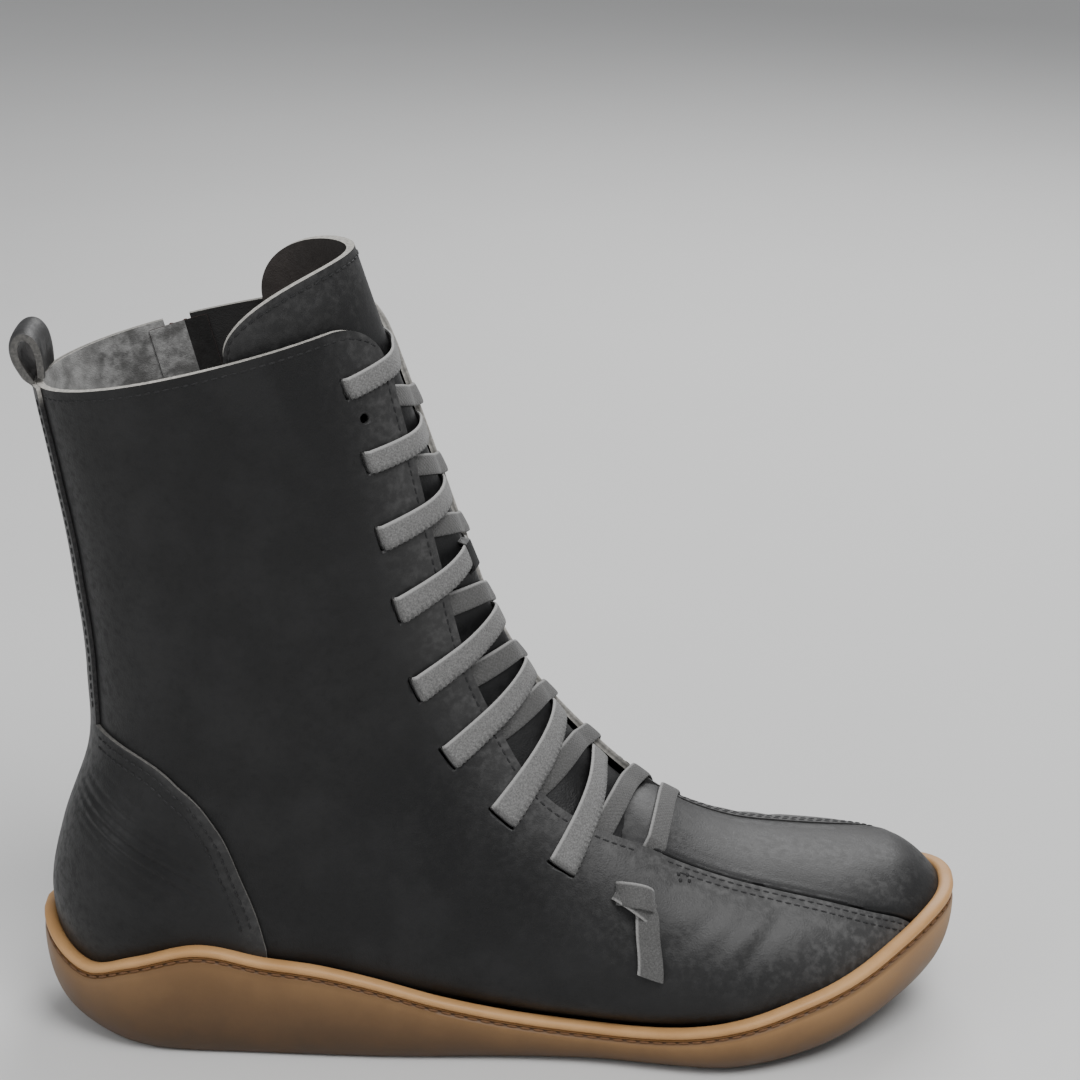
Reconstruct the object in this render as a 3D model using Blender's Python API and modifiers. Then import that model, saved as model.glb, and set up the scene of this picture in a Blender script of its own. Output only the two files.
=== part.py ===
"""A right-foot lace-up boot: leather upper on a rubber cup sole, with a side zip and a flat elastic lace.

Shapes are worked out in millimetres: x runs from heel to toe, y from the outer side (negative) to the
inner side (positive), z up from the floor. placed() turns them into metres about the boot's middle.

The upper is a fan of sections. Station u is the length along the ridge from the toe tip over the vamp,
up the instep and the front of the shaft. Each section joins a ridge point to a bottom or back point and
swells to the outer and inner side as two halves of a superellipse.
"""

import bmesh
import bpy
import numpy as np

MILLIMETRE = 0.001
MIDDLE_X = 130.2
MIDDLE_Y = -1.4

# Wall and fit
WALL = 2.0
VAMP_DROP = 1.0
GAP = 0.3
FACET_GAP = 0.6
TANGENT_STEP = 0.4
CUTTER_REACH = 2.0

# Rounding of the toe, seen from above and from the side
TIP_X = 268.0
TOE_ROUND_PLAN = 46.0
TOE_ROUND_SIDE = 20.0

# Sections of the last, from the toe tip to above the collar
RIDGE_X, RIDGE_Z, RIDGE_Y, BACK_X, BACK_Z, OUTER, INNER, BELLY, LOW_POWER, TOP_POWER = range(10)
SECTIONS = np.array([
    # ridge x, z, y; back x, z; outer and inner half width; belly height; powers below and above it
    (268.0, 47.0, 9.0, 268.0, 25.0, 24.0, 29.0, 0.46, 2.4, 2.3),
    (250.0, 48.5, 8.5, 250.0, 17.0, 30.0, 34.0, 0.40, 2.6, 2.3),
    (236.0, 50.5, 7.5, 236.0, 12.5, 36.0, 37.0, 0.36, 2.6, 2.3),
    (218.0, 53.0, 6.5, 218.0, 8.5, 42.5, 39.5, 0.32, 2.6, 2.2),
    (200.0, 56.5, 5.0, 200.0, 7.0, 46.0, 40.5, 0.30, 2.8, 2.1),
    (184.0, 63.5, 4.0, 179.0, 7.0, 45.5, 39.5, 0.29, 2.8, 2.0),
    (169.0, 75.5, 3.0, 149.0, 8.5, 42.5, 37.5, 0.28, 2.8, 2.0),
    (157.0, 89.0, 2.0, 109.0, 11.0, 38.0, 35.0, 0.27, 2.8, 2.0),
    (148.0, 101.5, 1.5, 63.0, 13.0, 35.0, 33.0, 0.27, 2.6, 2.0),
    (141.5, 112.5, 1.0, 28.0, 14.0, 33.0, 32.0, 0.28, 2.5, 2.0),
    (137.0, 121.0, 0.5, 5.5, 18.0, 32.5, 32.0, 0.29, 2.4, 2.0),
    (133.0, 129.5, 0.0, -1.5, 40.0, 32.5, 32.0, 0.30, 2.2, 2.0),
    (129.7, 137.5, 0.0, 2.5, 62.0, 32.5, 32.5, 0.32, 2.1, 2.0),
    (126.8, 145.0, 0.0, 11.0, 86.0, 32.5, 32.5, 0.35, 2.1, 2.0),
    (123.2, 154.5, 0.0, 12.0, 110.0, 32.5, 32.5, 0.38, 2.1, 2.0),
    (117.5, 170.5, 0.0, 9.5, 142.0, 33.0, 33.0, 0.41, 2.1, 2.0),
    (109.0, 195.0, 0.0, 5.0, 174.0, 34.0, 34.0, 0.43, 2.1, 2.0),
    (100.5, 221.0, 0.0, 1.0, 198.5, 35.0, 35.0, 0.44, 2.1, 2.0),
    (93.5, 243.0, 0.0, -3.0, 229.0, 36.0, 36.0, 0.44, 2.1, 2.0),
])
COLLAR_ROW = 17
STATIONS = np.concatenate([[0.0], np.cumsum(np.hypot(np.diff(SECTIONS[:, RIDGE_X]),
                                                     np.diff(SECTIONS[:, RIDGE_Z])))])
COLLAR = STATIONS[COLLAR_ROW]

# Edge of the quarters: seams of the vamp strip below THROAT, free lacing edges above it
THROAT = 83.0
EDGES = np.array([
    # station, distance from the ridge on the outer and on the inner side
    (0.0, 29.0, 26.0),
    (17.0, 30.0, 21.0),
    (30.0, 31.5, 14.0),
    (50.0, 30.0, 10.0),
    (67.0, 27.5, 9.0),
    (96.0, 27.0, 9.0),
    (112.0, 30.0, 9.5),
    (126.0, 31.0, 10.0),
    (148.0, 26.0, 11.0),
    (170.0, 22.5, 11.0),
    (202.0, 19.0, 11.0),
    (234.0, 15.5, 11.0),
    (252.0, 14.0, 11.5),
    (292.0, 14.0, 12.0),
])
CORNER_ROUND = 16.0
CORNER_FROM = 244.0

# Sole: heights of its lip, its floor and its underside
LIPS = np.array([
    # x, height of the lip on the outer and on the inner side
    (-4.0, 38.5, 38.5),
    (2.0, 31.0, 31.0),
    (10.0, 26.0, 26.0),
    (24.0, 30.5, 30.0),
    (42.0, 36.0, 35.0),
    (63.0, 32.5, 32.5),
    (79.0, 30.5, 31.5),
    (96.0, 26.5, 30.0),
    (114.0, 21.0, 27.0),
    (131.0, 17.0, 23.0),
    (149.0, 14.5, 19.0),
    (166.0, 13.5, 16.0),
    (183.0, 14.5, 15.5),
    (200.0, 18.0, 18.0),
    (218.0, 23.0, 22.5),
    (233.0, 27.5, 27.0),
    (248.0, 33.5, 32.5),
    (258.0, 37.5, 36.5),
    (268.0, 39.5, 39.5),
])
FLOORS = np.array([
    # x, height of the sole's inner floor
    (-5.0, 19.0),
    (10.0, 16.0),
    (30.0, 14.5),
    (63.0, 13.5),
    (109.0, 11.5),
    (149.0, 9.0),
    (179.0, 7.8),
    (200.0, 8.0),
    (218.0, 10.0),
    (236.0, 14.5),
    (250.0, 19.5),
    (268.0, 33.0),
])
FLAT_FROM = 30.0
FLAT_TO = 198.0
UNDERSIDE = np.array([
    # x, height of the tread, with the toe spring and the rounded heel
    (-5.0, 9.0),
    (6.0, 4.5),
    (16.0, 1.6),
    (FLAT_FROM, 0.0),
    (FLAT_TO, 0.0),
    (215.0, 1.5),
    (230.0, 4.2),
    (245.0, 8.3),
    (268.0, 16.0),
])
TREAD_INSET = np.array([
    # x, how far the tread's edge lies inside the lip's outer edge
    (-5.0, 13.0),
    (12.0, 9.0),
    (40.0, 6.5),
    (80.0, 6.0),
    (130.0, 7.0),
    (165.0, 9.5),
    (205.0, 11.5),
    (240.0, 13.0),
    (268.0, 15.0),
])
LIP_WIDTH = 4.4
LIP_BEAD = 3.4
BEAD_RISE = 1.0
BEAD_ANGLES = np.radians((140.0, 75.0, 15.0))
GROOVE_DEPTH = 0.9
GROOVE_WIDTH = 2.2
SIDE_POWER = 2.3
SIDE_ANGLES = np.radians((70.0, 50.0, 30.0, 12.0))
CUP_SHARES = (0.0, 0.09, 0.24, 0.45, 0.7, 1.0)
SOLE_POINTS = 30
SOLE_ACROSS = 4
SOLE_EVEN = 0.45

INSOLE_THICK = 3.0
INSOLE_INSET = 4.2

# Tongue
TONGUE_DEPTH = 4.1
TONGUE_THICK = 1.8
TONGUE_FROM = 75.0
TONGUE_ROUND_FROM = 262.0
TONGUE_TOP = 285.0
TONGUE_EDGES = np.array([
    # station, half width on the outer and on the inner side
    (75.0, 30.0, 14.0),
    (96.0, 34.0, 20.0),
    (126.0, 40.0, 28.0),
    (170.0, 44.0, 36.0),
    (234.0, 54.0, 48.0),
    (266.0, 62.0, 54.0),
    (285.0, 60.0, 53.0),
])
TONGUE_SHOULDER = 17.0
SHOULDER_POWERS = (2.0, 4.0)

# Overlays at the heel
LAYER = 1.2
LAYER_STEP = 4.5
COUNTER_FROM = 22.0
COUNTER_TO = 204.0
COUNTER_LINE = np.array([
    # x, z of the counter's front edge, from the back of the heel to the sole
    (-12.0, 99.0),
    (12.0, 98.0),
    (29.0, 93.0),
    (41.0, 84.5),
    (50.0, 72.5),
    (56.5, 56.5),
    (61.0, 44.0),
    (63.5, 34.0),
])
COUNTER_FOOT = 1.0
HEEL_REACH = 2.0
HEEL_ANGLE_STEP = 0.02
BACKSTAY_HALF = 14.0
BACKSTAY_FROM = 185.0
OUTLINE_BACK = -12.0
OUTLINE_FRONT = 60.0
OUTLINE_TOP = 240.0
OUTLINE_HALF = 60.0

# Pull loop: its path at the back, outer leg first, as x and z
LOOP_HALF = 9.0
LOOP_THICK = 2.0
LOOP_BOW = 1.5
LOOP_PATH = np.array([
    # x, z, share of the back wall's bow
    (0.3, 186.0, 1.0),
    (-0.8, 193.0, 1.0),
    (-2.0, 199.0, 0.9),
    (-4.2, 203.5, 0.6),
    (-5.92, 207.5, 0.4),
    (-4.6, 211.0, 0.3),
    (-1.6, 212.2, 0.3),
    (1.2, 210.6, 0.4),
    (2.2, 206.5, 0.7),
    (2.0, 202.5, 0.9),
    (1.5, 200.2, 1.0),
])

# Lace: it runs from slot to slot in a zigzag, over its own flap, down onto the tongue, under the other flap
LACE_WIDTH = 5.8
LACE_THICK = 1.2
LACE_OVER = 0.5
LACE_SINK = 3.7
LACE_SINK_RUN = 8.0
FROM_SLOT = 2.0
PAST_EDGE = 1.2
SHORT_OF_FLAP = 1.5
SLOT_LENGTH = 6.6
SLOT_WIDTH = 1.9
OUTER_BARS = np.array([
    # station and distance from the ridge of each slot on the outer side, station at the inner flap's edge
    (251.0, 30.5, 254.5),
    (229.0, 31.7, 229.0),
    (208.3, 35.0, 210.0),
    (190.0, 37.2, 190.5),
    (170.0, 40.7, 168.0),
    (151.5, 43.5, 148.8),
    (133.0, 44.2, 133.5),
    (117.0, 46.0, 114.0),
])
INNER_BARS = np.array([
    # station and distance from the ridge of each slot on the inner side, station at the outer flap's edge
    (231.0, 27.0, 243.5),
    (209.5, 27.0, 222.5),
    (190.5, 27.0, 204.5),
    (169.0, 27.5, 182.0),
    (149.5, 27.5, 162.0),
    (134.5, 27.0, 145.5),
    (115.0, 26.0, 127.8),
    (95.5, 25.0, 110.0),
    (86.5, 24.5, 94.0),
])
KNOT_HOLES = np.array([
    # side, station and distance from the ridge of the hole that each end comes out of
    (-1.0, 98.0, 43.0),
    (1.0, 250.0, 29.0),
])
KNOT_HOLE_SIZE = 4.0
KNOT_SIZE = (10.5, 8.0, 6.0)
TAIL_RUNS = np.array([
    # change of station and of distance from the ridge along each tail, which hangs down
    (-3.0, 15.5),
    (-20.2, 3.5),
])
TAIL_LIFT = 0.8

# Leather loop on the tongue that holds one bar of the lace in the middle
KEEPER_STATION = 189.4
KEEPER_MIDDLE = -4.0
KEEPER_LENGTH = 11.4
KEEPER_WIDTH = 6.0
KEEPER_THICK = 1.0
KEEPER_RISE = 2.4
KEEPER_STEEP = 2.2

# Zip on the inner side
ZIP_TOP = (37.0, 205.0)
ZIP_FOOT = (79.0, 50.0)
ZIP_SLIT = 8.0
ZIP_TAPE_HALF = 9.0
ZIP_TAPE_THICK = 0.9
ZIP_TAPE_DROP = 1.0
ZIP_COIL_WIDTH = 5.6
ZIP_COIL_THICK = 1.5
ZIP_SLIT_TOP = 1.09
ZIP_TAPE_SPAN = (-0.02, 1.0)
ZIP_COIL_SPAN = (0.015, 0.995)
ZIP_CUT_DEPTH = 3.0
SLIDER_FROM_TOP = 6.0
SLIDER_LENGTH = 12.0
SLIDER_WIDTH = 8.6
SLIDER_THICK = 2.0
SLIDER_LIFT = 0.5
BAIL_ROOT = 0.5
BAIL_THICK = 1.2
BAIL_WIDTH = 2.2
BAIL_OPEN = 3.0
TAB_LENGTH = 21.0
TAB_WIDTH = 6.4
TAB_THICK = 1.4
TAB_WINDOW = 6.0
TAB_BAR = 1.4
TAB_TILT = 5.0
TAB_PLAY = 1.0

LEATHER = ((0.030, 0.030, 0.031), 0.55, 0.0)
RUBBER = ((0.36, 0.18, 0.075), 0.6, 0.0)
FOOTBED = ((0.10, 0.095, 0.09), 0.9, 0.0)
ELASTIC = ((0.24, 0.24, 0.235), 0.85, 0.0)
TAPE = ((0.045, 0.022, 0.018), 0.8, 0.0)
METAL = ((0.17, 0.105, 0.09), 0.4, 1.0)


# Curves and the last

def through(knots, values, at):
    """Smooth cubic through a table's rows, each slope taken from the neighbouring rows."""
    at = np.clip(np.asarray(at, float), knots[0], knots[-1])
    slope = np.gradient(values, knots)
    i = np.clip(np.searchsorted(knots, at) - 1, 0, len(knots) - 2)
    span = knots[i + 1] - knots[i]
    t = (at - knots[i]) / span
    start = (2 * t**3 - 3 * t**2 + 1) * values[i] + (t**3 - 2 * t**2 + t) * span * slope[i]
    return start + (3 * t**2 - 2 * t**3) * values[i + 1] + (t**3 - t**2) * span * slope[i + 1]


def by_side(table, at, side):
    """Value of a table with an outer and an inner column."""
    return np.where(np.asarray(side) < 0, through(table[:, 0], table[:, 1], at),
                    through(table[:, 0], table[:, 2], at))


def rounded(distance, radius):
    """Quarter ellipse from 0 at no distance to 1 at the radius and beyond."""
    near = np.clip(distance / radius, 0.0, 1.0)
    return np.sqrt(np.clip(1.0 - (1.0 - near) ** 2, 0.0, 1.0))


def last(u, angle, side):
    """Point of the last: angle 0 at a section's bottom or back, pi on its ridge; side -1 outer, 1 inner."""
    u, angle, side = np.broadcast_arrays(*[np.asarray(values, float) for values in (u, angle, side)])
    row = [through(STATIONS, SECTIONS[:, column], u) for column in range(SECTIONS.shape[1])]
    from_tip = TIP_X - row[RIDGE_X]
    ridge_z = row[BACK_Z] + (row[RIDGE_Z] - row[BACK_Z]) * rounded(from_tip, TOE_ROUND_SIDE)
    half = np.where(side < 0, row[OUTER], row[INNER]) * rounded(from_tip, TOE_ROUND_PLAN)
    low = angle < np.pi / 2
    power = 2.0 / np.where(low, row[LOW_POWER], row[TOP_POWER])
    across = np.abs(np.sin(angle)) ** power
    climb = np.abs(np.cos(angle)) ** power
    up = np.where(low, row[BELLY] * (1 - climb), row[BELLY] + (1 - row[BELLY]) * climb)
    x = row[BACK_X] + (row[RIDGE_X] - row[BACK_X]) * up
    y = side * half * across + row[RIDGE_Y] * up
    z = row[BACK_Z] + (ridge_z - row[BACK_Z]) * up
    return np.stack([x, y, z], -1)


def angle_at(u, distance, side):
    """Angle at which a section lies the given distance from the ridge, measured round the section."""
    angles = np.linspace(np.pi, 0.0, 181)
    line = last(u, angles, side)
    length = np.concatenate([[0.0], np.cumsum(np.linalg.norm(np.diff(line, axis=0), axis=1))])
    return np.interp(distance, length, angles)


def outward(along, across):
    """Unit normal from two tangents, turned away from the inside of the boot."""
    normal = np.cross(across, along)
    return normal / np.linalg.norm(normal, axis=-1, keepdims=True)


def skin(u, a, lift=0.0):
    """Point at station u and signed distance a from the ridge, outer side negative, lifted off the last."""
    u, a, lift = np.broadcast_arrays(np.asarray(u, float), np.asarray(a, float), np.asarray(lift, float))

    def surface(stations, distances):
        flat = np.array([last(s, angle_at(s, abs(d), 1 if d > 0 else -1), 1 if d > 0 else -1)
                         for s, d in zip(stations.ravel(), distances.ravel())])
        return flat.reshape(stations.shape + (3,))

    here = surface(u, a)
    along = surface(u + TANGENT_STEP, a) - surface(u - TANGENT_STEP, a)
    across = surface(u, a + TANGENT_STEP) - surface(u, a - TANGENT_STEP)
    return here + outward(along, across) * lift[..., None]


def side_point(x, z, side, lift=0.0):
    """Point of the last seen at x and z from the side, lifted off it.

    Each section is a straight line in the side view, so its station is found where that line meets the point.
    """
    stations = np.linspace(60.0, STATIONS[-1], 1200)
    rows = [through(STATIONS, SECTIONS[:, column], stations) for column in (RIDGE_X, RIDGE_Z, BACK_X, BACK_Z)]

    def surface(px, pz):
        dx, dz = rows[0] - rows[2], rows[1] - rows[3]
        turn = dx * (pz - rows[3]) - dz * (px - rows[2])
        i = np.argmax(turn < 0)
        share = turn[i - 1] / (turn[i - 1] - turn[i])
        u = stations[i - 1] + share * (stations[i] - stations[i - 1])
        angles = np.linspace(0.02, np.pi - 0.02, 400)
        line = last(u, angles, side)
        angle = np.interp(pz, line[:, 2], angles) if line[-1, 2] > line[0, 2] else angles[0]
        return last(u, angle, side)

    x, z = np.broadcast_arrays(np.asarray(x, float), np.asarray(z, float))
    points = []
    for px, pz in zip(x.ravel(), z.ravel()):
        here = surface(px, pz)
        forward = surface(px + TANGENT_STEP, pz) - surface(px - TANGENT_STEP, pz)
        upward = surface(px, pz + TANGENT_STEP) - surface(px, pz - TANGENT_STEP)
        normal = np.cross(upward, forward) * side
        points.append(here + normal / np.linalg.norm(normal) * lift)
    return np.array(points).reshape(x.shape + (3,))


def floor_height(x):
    """Height of the sole's inner floor."""
    return through(FLOORS[:, 0], FLOORS[:, 1], x)


def wall_foot(x):
    """Height of the upper's lower edge, just clear of the sole's floor."""
    return floor_height(x) + GAP


def lip_height(x, side):
    """Height of the sole's lip."""
    return by_side(LIPS, x, side)


def low_angle(u, side):
    """Angle at which a section meets the upper's lower edge, 0 where it closes at the back above the edge."""
    angles = np.linspace(0.0, np.pi * 0.75, 400)
    line = last(u, angles, side)
    above = line[:, 2] - wall_foot(line[:, 0])
    if above[0] >= 0.0:
        return 0.0
    return np.interp(0.0, above[:np.argmax(above > 0.0) + 1], angles[:np.argmax(above > 0.0) + 1])


def heel_station():
    """First station whose section closes at the back of the heel."""
    stations = np.linspace(STATIONS[8], STATIONS[12], 4000)
    back = last(stations, 0.0, -1)
    return stations[np.argmax(back[:, 2] >= wall_foot(back[:, 0]))]


def contour(height):
    """Loop where the last stands at height(x, side): toe tip, outer side, heel, inner side.

    Each side has SOLE_POINTS steps, shorter round the toe and the heel.
    """
    stations = np.concatenate([np.linspace(0.0, 30.0, 240), np.linspace(30.0, COLLAR, 600)[1:]])
    angles = np.linspace(0.0, np.pi, 361)
    sides = []
    for side in (-1, 1):
        points = last(stations[:, None], angles[None, :], side)
        above = points[..., 2] - height(points[..., 0], side)
        rising = (above[:, :-1] < 0) & (above[:, 1:] >= 0)
        rows = np.nonzero(rising.any(axis=1))[0]
        columns = rising[rows].argmax(axis=1)
        low, high = above[rows, columns], above[rows, columns + 1]
        share = (low / (low - high))[:, None]
        sides.append(points[rows, columns] * (1 - share) + points[rows, columns + 1] * share)
    toe = (sides[0][0] + sides[1][0]) / 2
    heel = (sides[0][-1] + sides[1][-1]) / 2
    halves = []
    for points in sides:
        line = np.vstack([toe, points, heel])
        length = np.concatenate([[0.0], np.cumsum(np.linalg.norm(np.diff(line, axis=0), axis=1))])
        t = np.linspace(0.0, 1.0, SOLE_POINTS + 1)
        spots = length[-1] * (SOLE_EVEN * t + (1 - SOLE_EVEN) * (1 - np.cos(np.pi * t)) / 2)
        halves.append(np.stack([np.interp(spots, length, line[:, k]) for k in range(3)], -1))
    return np.vstack([halves[0], halves[1][-2:0:-1]])


def spread(loop, distance):
    """Loop moved outwards in plan by a distance, one for all points or one for each."""
    tangent = np.roll(loop, -1, axis=0) - np.roll(loop, 1, axis=0)
    normal = np.stack([-tangent[:, 1], tangent[:, 0], np.zeros(len(loop))], -1)
    normal /= np.linalg.norm(normal, axis=1)[:, None]
    middle = loop.mean(axis=0)
    if np.sum((loop - middle) * normal) < 0:
        normal = -normal
    return loop + normal * np.broadcast_to(distance, len(loop))[:, None]


def at_height(loop, height):
    """Loop with its points set to the heights."""
    return np.column_stack([loop[:, 0], loop[:, 1], np.broadcast_to(height, len(loop))])


# Scene and meshes

def placed(points):
    """Millimetres from the heel to metres about the boot's middle."""
    return (np.asarray(points, float) - (MIDDLE_X, MIDDLE_Y, 0.0)) * MILLIMETRE


def clear_scene():
    """Remove whatever the file holds."""
    for thing in list(bpy.data.objects):
        bpy.data.objects.remove(thing, do_unlink=True)


def new_collection(name):
    """Collection linked to the scene."""
    group = bpy.data.collections.new(name)
    bpy.context.scene.collection.children.link(group)
    return group


def new_material(name, finish):
    """Principled material from a colour, a roughness and a metallic value."""
    colour, roughness, metallic = finish
    material = bpy.data.materials.new(name)
    material.use_nodes = True
    shader = material.node_tree.nodes["Principled BSDF"]
    shader.inputs["Base Color"].default_value = (*colour, 1.0)
    shader.inputs["Roughness"].default_value = roughness
    shader.inputs["Metallic"].default_value = metallic
    material.diffuse_color = (*colour, 1.0)
    return material


def new_object(name, points, faces, finish, group):
    """Mesh object from points in millimetres."""
    mesh = bpy.data.meshes.new(name)
    mesh.from_pydata(placed(points).tolist(), [], [tuple(int(i) for i in face) for face in faces])
    mesh.validate()
    if finish is not None:
        mesh.materials.append(new_material(name, finish))
    thing = bpy.data.objects.new(name, mesh)
    group.objects.link(thing)
    mesh.shade_smooth()
    mesh.set_sharp_from_angle(angle=np.radians(35.0))
    return thing


def weld(thing):
    """Merge the points that fall together, as at the back seam and at poles."""
    work = bmesh.new()
    work.from_mesh(thing.data)
    bmesh.ops.remove_doubles(work, verts=work.verts, dist=0.00002)
    bmesh.ops.dissolve_degenerate(work, edges=work.edges, dist=0.00001)
    work.to_mesh(thing.data)
    work.free()


def face_outwards(thing):
    """Turn the faces of a closed mesh outwards."""
    work = bmesh.new()
    work.from_mesh(thing.data)
    bmesh.ops.recalc_face_normals(work, faces=work.faces)
    work.to_mesh(thing.data)
    work.free()


def thicken(thing, thickness, outwards=False):
    """Give an open sheet its thickness with a Solidify modifier."""
    solid = thing.modifiers.new("thickness", "SOLIDIFY")
    solid.thickness = thickness * MILLIMETRE
    solid.offset = 1.0 if outwards else -1.0
    solid.use_rim = True
    return solid


def combine(thing, other, operation):
    """Boolean modifier with another object, which becomes a hidden cutter."""
    cut = thing.modifiers.new(operation.lower(), "BOOLEAN")
    cut.operation = operation
    cut.object = other
    cut.solver = "EXACT"
    other.hide_render = True
    other.display_type = "WIRE"


def grid_faces(rows, columns, keep=None):
    """Quads of a grid of points, their fronts on the side that columns x rows gives."""
    i, j = np.meshgrid(np.arange(rows - 1), np.arange(columns - 1), indexing="ij")
    corner = (i * columns + j).ravel()
    quads = np.stack([corner, corner + 1, corner + columns + 1, corner + columns], -1)
    return quads if keep is None else quads[np.asarray(keep).ravel()]


def sheet(name, grid, finish, group, thickness, outwards=False):
    """Open sheet through a grid of points, thickened."""
    thing = new_object(name, grid.reshape(-1, 3), grid_faces(*grid.shape[:2]), finish, group)
    thicken(thing, thickness, outwards)
    return thing


def block(name, bottom, top, group, finish=None):
    """Closed solid between two grids of points of the same shape, bottom and top."""
    rows, columns = top.shape[:2]
    count = rows * columns
    upper = grid_faces(rows, columns)
    lower = upper[:, ::-1] + count
    index = np.arange(count).reshape(rows, columns)
    edge = np.concatenate([index[0, :], index[1:, -1], index[-1, -2::-1], index[-2:0:-1, 0]])
    after = np.roll(edge, -1)
    walls = np.stack([after, edge, edge + count, after + count], -1)
    points = np.concatenate([top.reshape(-1, 3), bottom.reshape(-1, 3)])
    return new_object(name, points, np.concatenate([upper, lower, walls]), finish, group)


def join(name, things, group):
    """One object from several separate closed meshes."""
    points, faces, count = [], [], 0
    for thing in things:
        points += [vertex.co[:] for vertex in thing.data.vertices]
        faces += [[i + count for i in polygon.vertices] for polygon in thing.data.polygons]
        count = len(points)
        bpy.data.objects.remove(thing, do_unlink=True)
    mesh = bpy.data.meshes.new(name)
    mesh.from_pydata(points, [], faces)
    joined = bpy.data.objects.new(name, mesh)
    group.objects.link(joined)
    return joined


# Upper

UPPER_STATIONS = (2.0, 5.0, 9.0, 14.0, 20.0, 28.0, 38.0, 50.0, 62.0, 73.0, THROAT, 92.0, 101.0, 110.0,
                  118.0, 126.0, 133.0, 139.0, 144.0, 148.5, 152.5, 156.0, 159.0, 164.0, 167.5, 171.0, 174.5,
                  178.0, 182.0, 186.5, 192.0, 199.0, 208.0, 218.0, 229.0, 240.0, 248.0, 255.0, 261.0, COLLAR)
STRIP_SHARES = (0.0, 0.5)
STEP_WIDTH = 0.7
QUARTER_SHARES = (0.0, 0.04, 0.10, 0.19, 0.31, 0.45, 0.60, 0.75, 0.89, 1.0)


def edge_distance(u, side):
    """Distance of the quarter's edge from the ridge."""
    return by_side(EDGES, u, side)


def corner_station(u, past_edge):
    """Station lowered near the lacing edge, so that the flap's top corner is round."""
    if u <= CORNER_FROM:
        return u
    short = max(CORNER_ROUND - past_edge, 0.0)
    drop = CORNER_ROUND - np.sqrt(CORNER_ROUND**2 - short**2)
    return CORNER_FROM + (u - CORNER_FROM) * (1.0 - drop / (COLLAR - CORNER_FROM))


def upper_side(u, side):
    """Row of points on one side, from the ridge down to the lower edge or the back."""
    end = low_angle(u, side)
    angles = np.linspace(np.pi, end, 200)
    line = last(u, angles, side)
    reach = np.sum(np.linalg.norm(np.diff(line, axis=0), axis=1))
    edge = min(float(edge_distance(u, side)), 0.8 * reach)
    strip = [share * edge for share in STRIP_SHARES] + [edge - STEP_WIDTH]
    points = [skin(u, side * max(d, 0.01), -VAMP_DROP) for d in strip]
    for share in QUARTER_SHARES[:-1]:
        distance = edge + share * (reach - edge)
        points.append(skin(corner_station(u, distance - edge), side * distance))
    points.append(last(u, end, side))
    return points


def upper_grid():
    """Rows of points over the whole upper, from the outer lower edge over the ridge to the inner one."""
    stations = sorted(UPPER_STATIONS + (heel_station(),))
    rows = []
    for u in stations:
        outer = upper_side(u, -1)
        inner = upper_side(u, 1)
        rows.append(outer[::-1] + inner[1:])
    return np.array(stations), np.array(rows)


def make_upper(group, cutters):
    """Leather wall, open underneath, at the collar, at the throat, at the lace slots and at the zip."""
    stations, grid = upper_grid()
    rows, columns = grid.shape[:2]
    middle = columns // 2
    strip = len(STRIP_SHARES) + 1
    column = np.arange(columns - 1)
    in_strip = (column >= middle - strip) & (column < middle + strip)
    keep = ~((stations[:-1, None] >= THROAT - 0.01) & in_strip[None, :])
    ridge = last(np.linspace(0.0, stations[0], 60), np.pi, -1)
    tip = ridge[np.argmax(ridge[:, 2] >= wall_foot(ridge[:, 0]))]
    points = np.vstack([grid.reshape(-1, 3), [tip]])
    nose = [(j + 1, j, rows * columns) for j in range(columns - 1)]
    faces = [list(quad) for quad in grid_faces(rows, columns, keep)] + nose
    upper = new_object("upper", points, faces, LEATHER, group)
    weld(upper)
    drop_loose_points(upper)
    thicken(upper, WALL)
    combine(upper, slot_cutter(cutters), "DIFFERENCE")
    combine(upper, zip_cutter(cutters), "DIFFERENCE")
    return upper


def drop_loose_points(thing):
    """Delete points that no face uses, such as those inside the throat."""
    work = bmesh.new()
    work.from_mesh(thing.data)
    lone = [vertex for vertex in work.verts if not vertex.link_faces]
    bmesh.ops.delete(work, geom=lone, context="VERTS")
    work.to_mesh(thing.data)
    work.free()


def slot_cutter(cutters):
    """Blocks for the lace slots of both sides and for the two knot holes."""
    places = [(u, -a, SLOT_LENGTH, SLOT_WIDTH) for u, a, _ in OUTER_BARS]
    places += [(u, a, SLOT_LENGTH, SLOT_WIDTH) for u, a, _ in INNER_BARS]
    places += [(u, side * a, KNOT_HOLE_SIZE, KNOT_HOLE_SIZE) for side, u, a in KNOT_HOLES]
    blocks = []
    for i, (u, a, length, width) in enumerate(places):
        half, wide = length / 2, width / 2
        us, ways = np.meshgrid((u - half, u + half), (a - wide, a + wide), indexing="ij")
        under, over = skin(us, ways, -WALL - CUTTER_REACH), skin(us, ways, CUTTER_REACH)
        blocks.append(block(f"slot_{i}", under, over, cutters))
    return join("lace_slots", blocks, cutters)


# Sole and insole

def cap_points(loop, height):
    """Points across a loop, row by row from toe to heel, without the loop's own points."""
    shares = np.linspace(0.0, 1.0, SOLE_ACROSS + 1)[1:-1]
    outer = loop[1:SOLE_POINTS]
    inner = loop[:SOLE_POINTS:-1]
    rows = outer[:, None, :] * (1 - shares)[None, :, None] + inner[:, None, :] * shares[None, :, None]
    flat = rows.reshape(-1, 3)
    flat[:, 2] = height(flat[:, 0])
    return flat


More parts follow.
